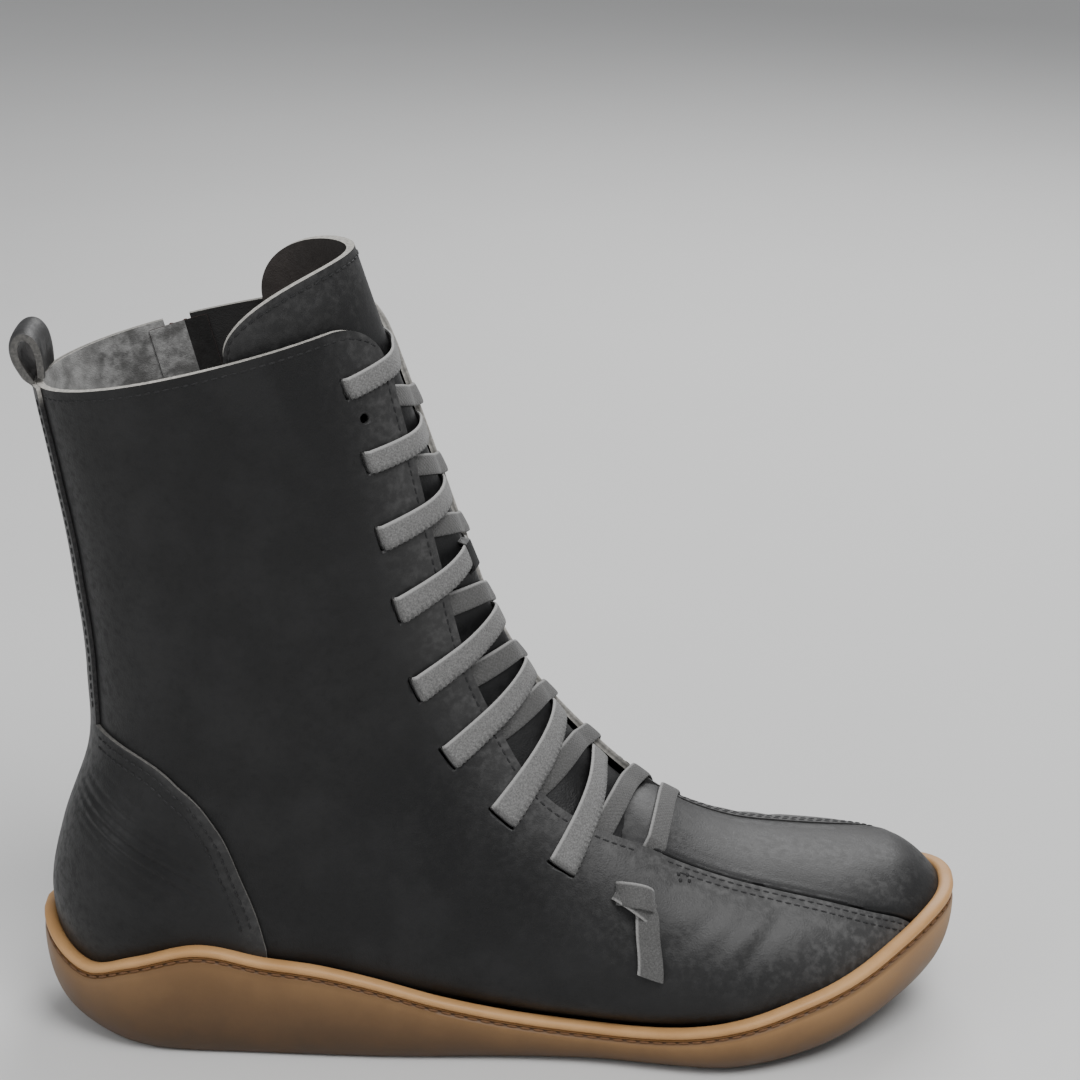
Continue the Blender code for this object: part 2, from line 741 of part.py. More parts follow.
def cap_faces(ring, first, flip):
    """Faces over a loop: ring gives the loop's point numbers, first the number of the first point across."""
    inside = SOLE_ACROSS - 1
    rows = [[ring[i]] + [first + (i - 1) * inside + k for k in range(inside)] + [ring[-i]]
            for i in range(1, SOLE_POINTS)]
    faces = [(ring[0], rows[0][k], rows[0][k + 1]) for k in range(SOLE_ACROSS)]
    for near, far in zip(rows[:-1], rows[1:]):
        faces += [(near[k], far[k], far[k + 1], near[k + 1]) for k in range(SOLE_ACROSS)]
    faces += [(rows[-1][k], ring[SOLE_POINTS], rows[-1][k + 1]) for k in range(SOLE_ACROSS)]
    return [face[::-1] for face in faces] if flip else faces


def lofted(name, rings, first_height, last_height, finish, group):
    """Closed solid through rings of points, its first ring closed over and its last ring closed under."""
    count = len(rings[0])
    points = list(rings)
    faces = []
    for k in range(len(rings) - 1):
        here, there = k * count, (k + 1) * count
        ahead = [(i + 1) % count for i in range(count)]
        faces += [(here + i, here + ahead[i], there + ahead[i], there + i) for i in range(count)]
    first = len(rings) * count
    points.append(cap_points(rings[0], first_height))
    faces += cap_faces(list(range(count)), first, flip=True)
    second = first + len(points[-1])
    points.append(cap_points(rings[-1], last_height))
    faces += cap_faces(list(range((len(rings) - 1) * count, len(rings) * count)), second, flip=False)
    return new_object(name, np.vstack(points), faces, finish, group)


def underside_height(x):
    """Height of the tread, flat from the heel to the ball and rising to the toe."""
    height = np.clip(through(UNDERSIDE[:, 0], UNDERSIDE[:, 1], x), 0.0, None)
    return np.where((x < FLAT_FROM) | (x > FLAT_TO), height, 0.0)


def make_outsole(group):
    """Rubber cup: floor, wall round the upper, round lip, stitch groove, bowl-shaped side and tread."""
    inside = contour(lip_height)
    outside = spread(inside, FACET_GAP + LIP_WIDTH)
    lip = outside[:, 2]
    rings = []
    for share in CUP_SHARES:
        level = contour(lambda x, side: wall_foot(x) + (lip_height(x, side) - wall_foot(x)) * share)
        rings.append(spread(level, FACET_GAP) - (0.0, 0.0, GAP * (1.0 - share) + BEAD_RISE * share))
    for angle in BEAD_ANGLES:
        reach = FACET_GAP + LIP_WIDTH / 2 * (1 + np.cos(angle))
        rings.append(at_height(spread(inside, reach), lip - BEAD_RISE + BEAD_RISE * np.sin(angle)))
    rings.append(at_height(outside, lip - LIP_BEAD))
    rings.append(at_height(spread(outside, -GROOVE_DEPTH), lip - LIP_BEAD - GROOVE_WIDTH * 0.35))
    rings.append(at_height(spread(outside, -GROOVE_DEPTH), lip - LIP_BEAD - GROOVE_WIDTH * 0.65))
    top = lip - LIP_BEAD - GROOVE_WIDTH
    rings.append(at_height(outside, top))
    tread = spread(outside, -through(TREAD_INSET[:, 0], TREAD_INSET[:, 1], outside[:, 0]))
    tread = at_height(tread, underside_height(tread[:, 0]))
    for turn in SIDE_ANGLES:
        share = np.sin(turn) ** (2.0 / SIDE_POWER)
        climb = 1.0 - np.cos(turn) ** (2.0 / SIDE_POWER)
        side = tread + (outside - tread) * share
        rings.append(at_height(side, tread[:, 2] + (top - tread[:, 2]) * climb))
    rings.append(tread)
    return lofted("outsole", rings, floor_height, underside_height, RUBBER, group)


def make_insole(group):
    """Flat footbed on the sole's floor."""
    foot = contour(lambda x, side: wall_foot(x))
    edge = spread(foot, -INSOLE_INSET)
    low = floor_height(edge[:, 0]) + GAP
    rings = [at_height(edge, low + INSOLE_THICK), at_height(edge, low)]
    return lofted("insole", rings, lambda x: floor_height(x) + GAP + INSOLE_THICK,
                  lambda x: floor_height(x) + GAP, FOOTBED, group)


# Tongue and heel overlays

def make_tongue(group):
    """Wide tongue under the flaps, round at the shoulders above the collar."""
    stations = np.concatenate([np.linspace(TONGUE_FROM, TONGUE_ROUND_FROM, 14)[:-1],
                               np.linspace(TONGUE_ROUND_FROM, TONGUE_TOP, 4)])
    shares = np.array((-1.0, -0.96, -0.87, -0.7, -0.4, 0.0, 0.4, 0.7, 0.87, 0.96, 1.0))
    rows = []
    for u in stations:
        outer, inner = by_side(TONGUE_EDGES, u, -1), by_side(TONGUE_EDGES, u, 1)
        distance = np.where(shares < 0, shares * outer, shares * inner)
        power = np.where(shares < 0, *SHOULDER_POWERS)
        short = TONGUE_SHOULDER * (1.0 - np.sqrt(1.0 - np.abs(shares) ** power))
        past = np.clip((u - TONGUE_ROUND_FROM) / (TONGUE_TOP - TONGUE_ROUND_FROM), 0.0, 1.0)
        rows.append(skin(u - short * past, np.where(distance == 0.0, 0.01, distance), -TONGUE_DEPTH))
    return sheet("tongue", np.array(rows), LEATHER, group, TONGUE_THICK)


def heel_layer(name, low, high, finish, group):
    """Sheet over the back of the boot between two stations, just off the upper."""
    angles = np.concatenate([np.linspace(HEEL_REACH, 0.2, 9), [0.0]])
    rows = []
    for u in np.arange(low, high, LAYER_STEP):
        outer = [heel_lift(u, angle, -1) for angle in angles]
        inner = [heel_lift(u, angle, 1) for angle in angles[-2::-1]]
        rows.append(outer + inner)
    return sheet(name, np.array(rows)[:, ::-1], finish, group, LAYER, outwards=True)


def heel_lift(u, angle, side):
    """Point of the last near its back line, lifted by the gap between layers."""
    turn = HEEL_ANGLE_STEP
    here = last(u, angle, side)
    along = last(u + TANGENT_STEP, angle, side) - last(u - TANGENT_STEP, angle, side)
    if angle < turn:
        across = last(u, turn, 1) - last(u, turn, -1)
    else:
        across = (last(u, angle + turn, side) - last(u, angle - turn, side)) * side
    normal = np.cross(along, across)
    return here + normal / np.linalg.norm(normal) * FACET_GAP


def prism(name, outline, half, cutters):
    """Closed prism across the boot over an outline given as x and z."""
    outline = np.asarray(outline, float)
    count = len(outline)
    points = [np.column_stack([outline[:, 0], np.full(count, y), outline[:, 1]]) for y in (-half, half)]
    faces = [tuple(range(count))[::-1], tuple(range(count, 2 * count))]
    faces += [(i, (i + 1) % count, (i + 1) % count + count, i + count) for i in range(count)]
    thing = new_object(name, np.vstack(points), faces, None, cutters)
    face_outwards(thing)
    return thing


def make_heel_counter(group, cutters):
    """Leather overlay round the heel, from the sole's lip up to its curved front edge."""
    counter = heel_layer("heel_counter", heel_station() - COUNTER_FROM, COUNTER_TO, LEATHER, group)
    front = np.linspace(COUNTER_LINE[-1, 1], COUNTER_LINE[1, 1], 14)
    order = COUNTER_LINE[1:][::-1]
    edge = np.column_stack([through(order[:, 1], order[:, 0], front), front])
    x = np.linspace(OUTLINE_BACK, COUNTER_LINE[-1, 0], 18)
    foot = np.column_stack([x, lip_height(x, -1) + COUNTER_FOOT])
    outline = np.vstack([foot, edge[1:], [(OUTLINE_BACK, COUNTER_LINE[0, 1])]])
    combine(counter, prism("counter_outline", outline, OUTLINE_HALF, cutters), "INTERSECT")
    return counter


def make_backstay(group, cutters):
    """Leather strip up the back seam, from the counter to the collar."""
    stay = heel_layer("backstay", BACKSTAY_FROM, COLLAR, LEATHER, group)
    low = COUNTER_LINE[0, 1] + GAP
    outline = [(OUTLINE_BACK, low), (OUTLINE_FRONT, low),
               (OUTLINE_FRONT, OUTLINE_TOP), (OUTLINE_BACK, OUTLINE_TOP)]
    combine(stay, prism("backstay_outline", outline, BACKSTAY_HALF, cutters), "INTERSECT")
    return stay


def make_pull_loop(group):
    """Leather strip looped over the back of the collar."""
    count = len(LOOP_PATH)
    fine = np.linspace(0, count - 1, 19)
    path = np.stack([through(np.arange(count, dtype=float), LOOP_PATH[:, k], fine) for k in range(3)], -1)
    across = np.linspace(-1.0, 1.0, 5)
    rows = [[(x + LOOP_BOW * bow * w * w, LOOP_HALF * w, z) for w in across] for x, z, bow in path]
    return sheet("pull_loop", np.array(rows), LEATHER, group, LOOP_THICK)


# Lace

def strap(name, path, finish, group):
    """Flat strap along a path of station, distance and lift, LACE_WIDTH wide across the path."""
    path = np.asarray(path, float)
    tangent = np.gradient(path[:, :2], axis=0)
    tangent /= np.linalg.norm(tangent, axis=1)[:, None]
    normal = np.column_stack([-tangent[:, 1], tangent[:, 0]])
    rows = []
    for share in (0.5, -0.5):
        moved = path[:, :2] + normal * share * LACE_WIDTH
        rows.append(skin(moved[:, 0], moved[:, 1], path[:, 2]))
    return sheet(name, np.array(rows), finish, group, LACE_THICK, outwards=True)


def bar_path(slot, side):
    """Path of a bar from its slot over its own flap, down onto the tongue and up to the other flap's edge."""
    slot_u, slot_a, end_u = slot
    edge = side * (float(edge_distance(slot_u, side)) - PAST_EDGE)
    sunk = edge - side * LACE_SINK_RUN
    end = -side * (float(edge_distance(end_u, -side)) - SHORT_OF_FLAP)
    over = np.linspace(side * (slot_a - FROM_SLOT), edge, 4)
    down = np.linspace(edge, sunk, 3)[1:]
    across = np.linspace(sunk, end, 6)[1:]
    a = np.concatenate([over, down, across])
    share = (a - side * slot_a) / (end - side * slot_a)
    lift = LACE_OVER - LACE_SINK * np.clip((a - edge) / (sunk - edge), 0.0, 1.0)
    return np.column_stack([slot_u + (end_u - slot_u) * share, a, lift])


def make_lace(group):
    """Bars of the lace over the outer and over the inner flap."""
    for bars, side, label in ((OUTER_BARS, -1, "outer"), (INNER_BARS, 1, "inner")):
        for k, slot in enumerate(bars, 1):
            strap(f"lace_bar_{label}_{k}", bar_path(slot, side), ELASTIC, group)


def make_lace_ends(group):
    """Knots outside the two end holes and the short tails that hang from them."""
    for (side, u, a), run, label in zip(KNOT_HOLES, TAIL_RUNS, ("outer", "inner")):
        down, back = run / np.linalg.norm(run)
        middle = skin(u, side * a, KNOT_SIZE[2] / 2 + GAP)
        bpy.ops.mesh.primitive_uv_sphere_add(segments=10, ring_count=6, radius=0.5)
        knot = bpy.context.object
        knot.name = f"lace_knot_{label}"
        knot.data.name = knot.name
        for owner in list(knot.users_collection):
            owner.objects.unlink(knot)
        group.objects.link(knot)
        along = skin(u + down, side * (a + back)) - skin(u - down, side * (a - back))
        across = skin(u - back, side * (a + down)) - skin(u + back, side * (a - down))
        axes = [vector / np.linalg.norm(vector) for vector in (along, across, np.cross(along, across))]
        shape = np.array([axis * size for axis, size in zip(axes, KNOT_SIZE)])
        points = np.array([vertex.co[:] for vertex in knot.data.vertices]) @ shape + middle
        knot.data.vertices.foreach_set("co", placed(points).astype(np.float32).ravel())
        knot.data.materials.append(new_material(knot.name, ELASTIC))
        knot.data.shade_smooth()
        clear = KNOT_SIZE[0] / 2 + GAP
        t = np.linspace(0.0, 1.0, 7)
        path = np.column_stack([u + down * clear + run[0] * t, side * (a + back * clear + run[1] * t),
                                np.full(len(t), TAIL_LIFT)])
        strap(f"lace_tail_{label}", path, ELASTIC, group)


def make_lace_keeper(group):
    """Small leather loop on the tongue, arched over the lace."""
    t = np.linspace(0.0, 1.0, 11)
    lift = -TONGUE_DEPTH + GAP + KEEPER_RISE * np.clip(np.sin(np.pi * t) * KEEPER_STEEP, 0.0, 1.0)
    u = KEEPER_STATION + (t - 0.5) * KEEPER_LENGTH
    ways = KEEPER_MIDDLE + np.linspace(0.5, -0.5, 3) * KEEPER_WIDTH
    rows = [skin(u, np.full(len(u), a), lift) for a in ways]
    return sheet("lace_keeper", np.array(rows), LEATHER, group, KEEPER_THICK, outwards=True)


# Zip

def zip_grid(share_from, share_to, half, lift, steps=12):
    """Points along the zip's line, from its foot (share 0) to the collar (share 1), and across it."""
    foot, top = np.array(ZIP_FOOT), np.array(ZIP_TOP)
    line = top - foot
    across = np.array((line[1], -line[0])) / np.linalg.norm(line)
    rows = []
    for share in np.linspace(share_from, share_to, steps + 1):
        middle = foot + line * share
        spots = [middle + across * w for w in (-half, 0.0, half)]
        rows.append([side_point(x, z, 1, lift) for x, z in spots])
    return np.array(rows)


def zip_cutter(cutters):
    """Block that opens the slit from the zip's foot through the collar."""
    low = zip_grid(0.0, ZIP_SLIT_TOP, ZIP_SLIT / 2, -WALL - ZIP_CUT_DEPTH)
    high = zip_grid(0.0, ZIP_SLIT_TOP, ZIP_SLIT / 2, ZIP_CUT_DEPTH)
    return block("zip_slit", high, low, cutters)


def zip_frame(share):
    """Point on the zip's line with its upward, forward and outward directions."""
    here = zip_grid(share, share + 0.01, 1.0, 0.0, steps=1)
    up = here[1, 1] - here[0, 1]
    forward = here[0, 2] - here[0, 0]
    up /= np.linalg.norm(up)
    out = np.cross(up, forward)
    out /= np.linalg.norm(out)
    if out[1] < 0:
        out = -out
    across = np.cross(up, out)
    return here[0, 1], across, up, out


def box_points(size, middle):
    """Corners of a box in the zip's own frame: across, up and out."""
    signs = np.array([(x, y, z) for z in (-0.5, 0.5) for y in (-0.5, 0.5) for x in (-0.5, 0.5)])
    return signs * np.array(size) + np.array(middle)


BOX_FACES = [(0, 2, 3, 1), (4, 5, 7, 6), (0, 1, 5, 4), (2, 6, 7, 3), (0, 4, 6, 2), (1, 3, 7, 5)]


def frame_box(name, frame, size, middle, finish, group):
    """Box turned into the zip's frame."""
    origin, across, up, out = frame
    local = box_points(size, middle)
    return new_object(name, origin + local @ np.array([across, up, out]), BOX_FACES, finish, group)


def frame_prism(name, frame, outline, half, group):
    """Prism across the zip over an outline given as up and out in the zip's frame."""
    origin, across, up, out = frame
    count = len(outline)
    local = [(way, y, z) for way in (-half, half) for y, z in outline]
    faces = [tuple(range(count)), tuple(range(count, 2 * count))]
    faces += [(i, (i + 1) % count, (i + 1) % count + count, i + count) for i in range(count)]
    thing = new_object(name, origin + np.array(local) @ np.array([across, up, out]), faces, None, group)
    face_outwards(thing)
    return thing


def make_zip(group, cutters):
    """Tape behind the slit, coil in it, slider near the collar, pull tab hanging from the slider's bail."""
    tape = zip_grid(*ZIP_TAPE_SPAN, ZIP_TAPE_HALF, -WALL - ZIP_TAPE_DROP)
    sheet("zip_tape", tape[:, ::-1], TAPE, group, ZIP_TAPE_THICK)
    coil = zip_grid(*ZIP_COIL_SPAN, ZIP_COIL_WIDTH / 2, -WALL - ZIP_TAPE_DROP + GAP + ZIP_COIL_THICK)
    sheet("zip_coil", coil[:, ::-1], TAPE, group, ZIP_COIL_THICK)

    length = np.hypot(ZIP_TOP[0] - ZIP_FOOT[0], ZIP_TOP[1] - ZIP_FOOT[1])
    frame = zip_frame(1.0 - (SLIDER_FROM_TOP + SLIDER_LENGTH / 2) / length)
    plate = SLIDER_LIFT + SLIDER_THICK
    slider = frame_box("zip_slider", frame, (SLIDER_WIDTH, SLIDER_LENGTH, SLIDER_THICK),
                       (0.0, 0.0, SLIDER_LIFT + SLIDER_THICK / 2), METAL, group)
    half, outer = BAIL_OPEN / 2, BAIL_OPEN / 2 + BAIL_THICK
    root, crown = plate - BAIL_ROOT, plate + BAIL_OPEN
    arch = [(-outer, root), (-outer, crown + BAIL_THICK), (outer, crown + BAIL_THICK), (outer, root),
            (half, root), (half, crown), (-half, crown), (-half, root)]
    combine(slider, frame_prism("bail", frame, arch, BAIL_WIDTH / 2, cutters), "UNION")

    pin = plate + BAIL_OPEN / 2
    origin, across, up, out = frame
    tilt = np.radians(TAB_TILT)
    down = -up * np.cos(tilt) - out * np.sin(tilt)
    face = out * np.cos(tilt) - up * np.sin(tilt)
    tab_frame = (origin + out * pin, across, -down, face)
    tab = frame_box("zip_pull_tab", tab_frame, (TAB_WIDTH, TAB_LENGTH + TAB_BAR / 2, TAB_THICK),
                    (0.0, -(TAB_LENGTH - TAB_BAR / 2) / 2, 0.0), METAL, group)
    window = frame_box("tab_window", tab_frame, (BAIL_WIDTH + TAB_PLAY, TAB_WINDOW, TAB_THICK * 3),
                       (0.0, -(TAB_BAR / 2 + TAB_WINDOW / 2), 0.0), None, cutters)
    combine(tab, window, "DIFFERENCE")


def main():
    """Build the boot."""
    clear_scene()
    boot = new_collection("lace_up_boot")
    cutters = new_collection("cutters")
    make_outsole(boot)
    make_insole(boot)
    make_upper(boot, cutters)
    make_tongue(boot)
    make_heel_counter(boot, cutters)
    make_backstay(boot, cutters)
    make_pull_loop(boot)
    make_lace(boot)
    make_lace_ends(boot)
    make_lace_keeper(boot)
    make_zip(boot, cutters)


main()
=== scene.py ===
"""Looks of a right-foot lace-up boot: charcoal leather, grey knitted lace, side zip and gum rubber sole.

Shapes are worked out in millimetres from the heel: x runs to the toe, y from the outer side (negative)
to the inner side (positive), z up from the floor. placed() turns them into metres about the boot's middle.
Station u is the length along the ridge from the toe tip up to the collar, and a is the signed distance
from the ridge, measured round the section.
"""

import bpy
import numpy as np
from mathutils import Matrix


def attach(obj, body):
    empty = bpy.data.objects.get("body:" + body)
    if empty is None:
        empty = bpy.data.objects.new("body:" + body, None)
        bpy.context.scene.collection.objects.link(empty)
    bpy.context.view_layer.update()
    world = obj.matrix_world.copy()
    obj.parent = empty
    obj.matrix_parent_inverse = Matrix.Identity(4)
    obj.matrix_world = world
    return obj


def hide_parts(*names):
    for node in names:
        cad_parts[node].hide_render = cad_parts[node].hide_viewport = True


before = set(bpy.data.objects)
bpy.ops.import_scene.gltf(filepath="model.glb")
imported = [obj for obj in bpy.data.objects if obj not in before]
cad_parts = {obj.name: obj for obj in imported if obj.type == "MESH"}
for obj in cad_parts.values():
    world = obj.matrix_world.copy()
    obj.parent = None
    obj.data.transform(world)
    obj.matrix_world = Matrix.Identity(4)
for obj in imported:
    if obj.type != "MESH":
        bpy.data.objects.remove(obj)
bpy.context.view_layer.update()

MILLIMETRE = 0.001
MIDDLE = np.array((130.2, -1.4, 0.0))

# Camera, in millimetres from the heel and degrees
CAMERA_TARGET = (143.0, 0.0, 149.0)
CAMERA_DISTANCE = 865.0
CAMERA_RISE = 20.0
CAMERA_LENS = 100.0
CAMERA_SENSOR = 36.0

# Sections of the last, from the toe tip to above the collar
WALL = 2.0
VAMP_DROP = 0.35
GAP = 0.3
TIP_X = 268.0
TOE_ROUND_PLAN = 46.0
TOE_ROUND_SIDE = 20.0
RIDGE_X, RIDGE_Z, RIDGE_Y, BACK_X, BACK_Z, OUTER, INNER, BELLY, LOW_POWER, TOP_POWER = range(10)
SECTIONS = np.array([
    # ridge x, z, y; back x, z; outer and inner half width; belly height; powers below and above it
    (268.0, 47.0, 9.0, 268.0, 25.0, 24.0, 29.0, 0.46, 2.4, 2.3),
    (250.0, 48.5, 8.5, 250.0, 17.0, 30.0, 34.0, 0.40, 2.6, 2.3),
    (236.0, 50.5, 7.5, 236.0, 12.5, 36.0, 37.0, 0.36, 2.6, 2.3),
    (218.0, 53.0, 6.5, 218.0, 8.5, 42.5, 39.5, 0.32, 2.6, 2.2),
    (200.0, 56.5, 5.0, 200.0, 7.0, 46.0, 40.5, 0.30, 2.8, 2.1),
    (184.0, 63.5, 4.0, 179.0, 7.0, 45.5, 39.5, 0.29, 2.8, 2.0),
    (169.0, 75.5, 3.0, 149.0, 8.5, 42.5, 37.5, 0.28, 2.8, 2.0),
    (157.0, 89.0, 2.0, 109.0, 11.0, 38.0, 35.0, 0.27, 2.8, 2.0),
    (148.0, 101.5, 1.5, 63.0, 13.0, 35.0, 33.0, 0.27, 2.6, 2.0),
    (141.5, 112.5, 1.0, 28.0, 14.0, 33.0, 32.0, 0.28, 2.5, 2.0),
    (137.0, 121.0, 0.5, 5.5, 18.0, 32.5, 32.0, 0.29, 2.4, 2.0),
    (133.0, 129.5, 0.0, -1.5, 40.0, 32.5, 32.0, 0.30, 2.2, 2.0),
    (129.7, 137.5, 0.0, 2.5, 62.0, 32.5, 32.5, 0.32, 2.1, 2.0),
    (126.8, 145.0, 0.0, 11.0, 86.0, 32.5, 32.5, 0.35, 2.1, 2.0),
    (123.2, 154.5, 0.0, 12.0, 110.0, 32.5, 32.5, 0.38, 2.1, 2.0),
    (117.5, 170.5, 0.0, 9.5, 142.0, 33.0, 33.0, 0.41, 2.1, 2.0),
    (109.0, 195.0, 0.0, 5.0, 174.0, 34.0, 34.0, 0.43, 2.1, 2.0),
    (100.5, 221.0, 0.0, 1.0, 198.5, 35.0, 35.0, 0.44, 2.1, 2.0),
    (93.5, 243.0, 0.0, -3.0, 229.0, 36.0, 36.0, 0.44, 2.1, 2.0),
])
COLLAR_ROW = 17
STATIONS = np.concatenate([[0.0], np.cumsum(np.hypot(np.diff(SECTIONS[:, RIDGE_X]),
                                                     np.diff(SECTIONS[:, RIDGE_Z])))])
COLLAR = STATIONS[COLLAR_ROW]

# Edge of the quarters: seams of the vamp strip below, free lacing edges above
EDGES = np.array([
    # station, distance from the ridge on the outer and on the inner side
    (0.0, 29.0, 26.0), (17.0, 30.0, 21.0), (30.0, 31.5, 14.0), (50.0, 30.0, 10.0), (67.0, 27.5, 9.0),
    (96.0, 27.0, 9.0), (112.0, 30.0, 9.5), (126.0, 31.0, 10.0), (148.0, 26.0, 11.0), (170.0, 22.5, 11.0),
    (202.0, 19.0, 11.0), (234.0, 15.5, 11.0), (252.0, 14.0, 11.5), (292.0, 14.0, 12.0),
])
CORNER_ROUND = 16.0
CORNER_FROM = 244.0
STRIP_END = 103.0
STRIP_DIVE = 92.0
STRIP_UNDER = 6.0
STRIP_THICK = 1.2
STRIP_SWELL = 0.3
STRIP_SWELL_INSET = 2.6
STRIP_SWELL_WIDTH = 2.0
STRIP_TUCK = 1.7
STRIP_DIP = 3.8
STRIP_CREASED = 0.6

# Sole
LIPS = np.array([
    # x, height of the lip on the outer and on the inner side
    (-4.0, 38.5, 38.5), (2.0, 31.0, 31.0), (10.0, 26.0, 26.0), (24.0, 30.5, 30.0), (42.0, 36.0, 35.0),
    (63.0, 32.5, 32.5), (79.0, 30.5, 31.5), (96.0, 26.5, 30.0), (114.0, 21.0, 27.0), (131.0, 17.0, 23.0),
    (149.0, 14.5, 19.0), (166.0, 13.5, 16.0), (183.0, 14.5, 15.5), (200.0, 18.0, 18.0), (218.0, 23.0, 22.5),
    (233.0, 27.5, 27.0), (248.0, 33.5, 32.5), (258.0, 37.5, 36.5), (268.0, 39.5, 39.5),
])
FLOORS = np.array([
    # x, height of the sole's inner floor
    (-5.0, 19.0), (10.0, 16.0), (30.0, 14.5), (63.0, 13.5), (109.0, 11.5), (149.0, 9.0), (179.0, 7.8),
    (200.0, 8.0), (218.0, 10.0), (236.0, 14.5), (250.0, 19.5), (268.0, 33.0),
])
UNDERSIDE = np.array([
    # x, height of the tread, with the toe spring and the rounded heel
    (-5.0, 9.0), (6.0, 4.5), (16.0, 1.6), (30.0, 0.0), (198.0, 0.0), (215.0, 1.5), (230.0, 4.2), (245.0, 8.3),
    (268.0, 16.0),
])
TREAD_INSET = np.array([
    # x, how far the tread's edge lies inside the lip's outer edge
    (-5.0, 13.0), (12.0, 9.0), (40.0, 6.5), (80.0, 6.0), (130.0, 7.0), (165.0, 9.5), (205.0, 11.5),
    (240.0, 13.0), (268.0, 15.0),
])
TREAD_FLAT = (30.0, 198.0)
LIP_OUT = 5.0
LIP_IN = 0.4
LIP_BEAD = 2.9
GROOVE_DEPTH = 1.0
GROOVE_WIDTH = 1.5
# share of the groove's width, share of its depth, painted shade in the groove
GROOVE_RINGS = ((0.08, 0.35, 0.2), (0.3, 0.9, 0.9), (0.5, 1.0, 1.0), (0.7, 0.9, 0.9), (0.92, 0.25, 0.3))
CUP_DEPTH = 7.0
CUP_FLOOR = 4.0
# Painted light on the sole's side: its level at the side's top, fading to painted shade at the bottom, and
# how much more is painted towards the toe.
SIDE_PAINTED_LIGHT = 0.34
TOE_PAINTED_LIGHT = 0.32
SIDE_POWER = 2.3
SOLE_POINTS = 280
INSOLE_THICK = 3.0
INSOLE_INSET = 4.2

# Tongue
TONGUE_DEPTH = 4.1
TONGUE_THICK = 2.4
TONGUE_FROM = 75.0
TONGUE_TOP = 285.0
TONGUE_ROUND_FROM = 262.0
TONGUE_SHOULDER = 17.0
SHOULDER_POWERS = (2.0, 4.0)
TONGUE_EDGES = np.array([
    # station, half width on the outer and on the inner side
    (75.0, 30.0, 14.0), (96.0, 34.0, 20.0), (126.0, 40.0, 28.0), (170.0, 44.0, 36.0), (234.0, 54.0, 48.0),
    (266.0, 62.0, 54.0), (285.0, 60.0, 53.0),
])

# Overlays at the heel and the pull loop
LAYER = 1.2
LAYER_GAP = 0.1
COUNTER_TOP = 97.2
COUNTER_SINK = 1.2
COUNTER_ROWS = (2.6, 5.4)
COUNTER_LINE = np.array([
    # z and x of the counter's front edge, from the sole up
    (34.0, 63.5), (44.0, 61.0), (56.5, 56.5), (72.5, 50.0), (84.5, 41.0), (93.0, 29.0), (98.0, 12.0),
])
BACKSTAY_HALF = 14.0
LOOP_HALF = 9.0
LOOP_THICK = 2.6
LOOP_BOW = 1.5
LOOP_PATH = np.array([
    # x, z of the inner face, share of the back wall's bow
    (1.2, 196.0, 1.0), (0.2, 199.0, 0.95), (-1.4, 202.0, 0.7), (-3.0, 205.5, 0.5), (-3.3, 208.8, 0.35),
    (-2.2, 211.0, 0.3), (-0.6, 211.0, 0.3), (0.7, 209.0, 0.45), (1.1, 206.0, 0.7), (1.1, 203.0, 0.9),
    (1.0, 200.4, 1.0),
])

# Lace
LACE_WIDTH = 6.4
LACE_THICK = 1.1
SLOT_LENGTH = 6.8
SLOT_WIDTH = 1.3
SLOT_BEND = 0.45
OUTER_BARS = np.array([
    # station and distance from the ridge of each slot on the outer side, station at the inner flap's edge
    (251.0, 30.5, 254.5), (229.0, 31.7, 229.0), (208.3, 35.0, 210.0), (190.0, 37.2, 190.5),
    (170.0, 40.7, 168.0), (151.5, 43.5, 148.8), (133.0, 44.2, 133.5), (117.0, 46.0, 114.0),
])
INNER_BARS = np.array([
    # station and distance from the ridge of each slot on the inner side, station at the outer flap's edge
    (231.0, 27.0, 243.5), (209.5, 27.0, 222.5), (190.5, 27.0, 204.5), (169.0, 27.5, 182.0),
    (149.5, 27.5, 162.0), (134.5, 27.0, 146.5), (115.0, 26.0, 130.5), (95.5, 25.0, 110.5), (86.5, 24.5, 94.0),
])
OVER_FLAP = 0.3
SINK_RUN = 9.5
OUTER_DEPTHS = (-3.3, -3.3, -3.3, -3.9, -3.3, -3.3, -3.3, -3.3)
INNER_DEPTHS = (-4.0, -4.0, -4.0, -4.0, -4.0, -4.0, -4.0, -2.6, -0.3)
FLAP_DEPTH = -3.3
UNDER_FLAP = 5.0
SCALLOP = 0.45
SCALLOP_PITCH = 1.7
KNOT_HOLES = np.array([
    # side, station and distance from the ridge of the hole that each end comes out of
    (-1.0, 98.0, 43.0), (1.0, 250.0, 29.0),
])
KNOT_HOLE_SIZE = 4.0
SPARE_HOLE = (-1.0, 241.0, 27.5)
SPARE_HOLE_SIZE = 3.0
CUT_UNDER = 2.0
CUT_OVER = 3.0
TAILS = np.array([
    # length of each tail, change of station and of distance per millimetre, shift under the knot, swing
    (15.8, 0.0, 1.0, -3.6, -3.0), (20.5, -0.985, 0.172, 0.0, 0.0),
])
TAIL_IN_KNOT = 5.2
TAIL_INSIDE = 7.0
# length along a tail from its hole, and its lift there
TAIL_LIFTS = ((-2.0, 0.5, 3.0, 8.0, 12.0, 30.0), (-3.5, -0.4, 1.6, 1.6, 0.7, 0.6))
KNOT_LONG = 10.5
# tilt, rise and shift of the bands of a knot
KNOT_BANDS = ((2.2, 4.6, 0.8), (-2.6, 3.2, 2.2))
KEEPER_STATION = 189.4
KEEPER_MIDDLE = -4.0
KEEPER_LENGTH = 11.4
KEEPER_WIDTH = 4.6
KEEPER_THICK = 0.9
KEEPER_RISE = 1.4
KEEPER_SINK = 1.0
KEEPER_STEEP = 1.9

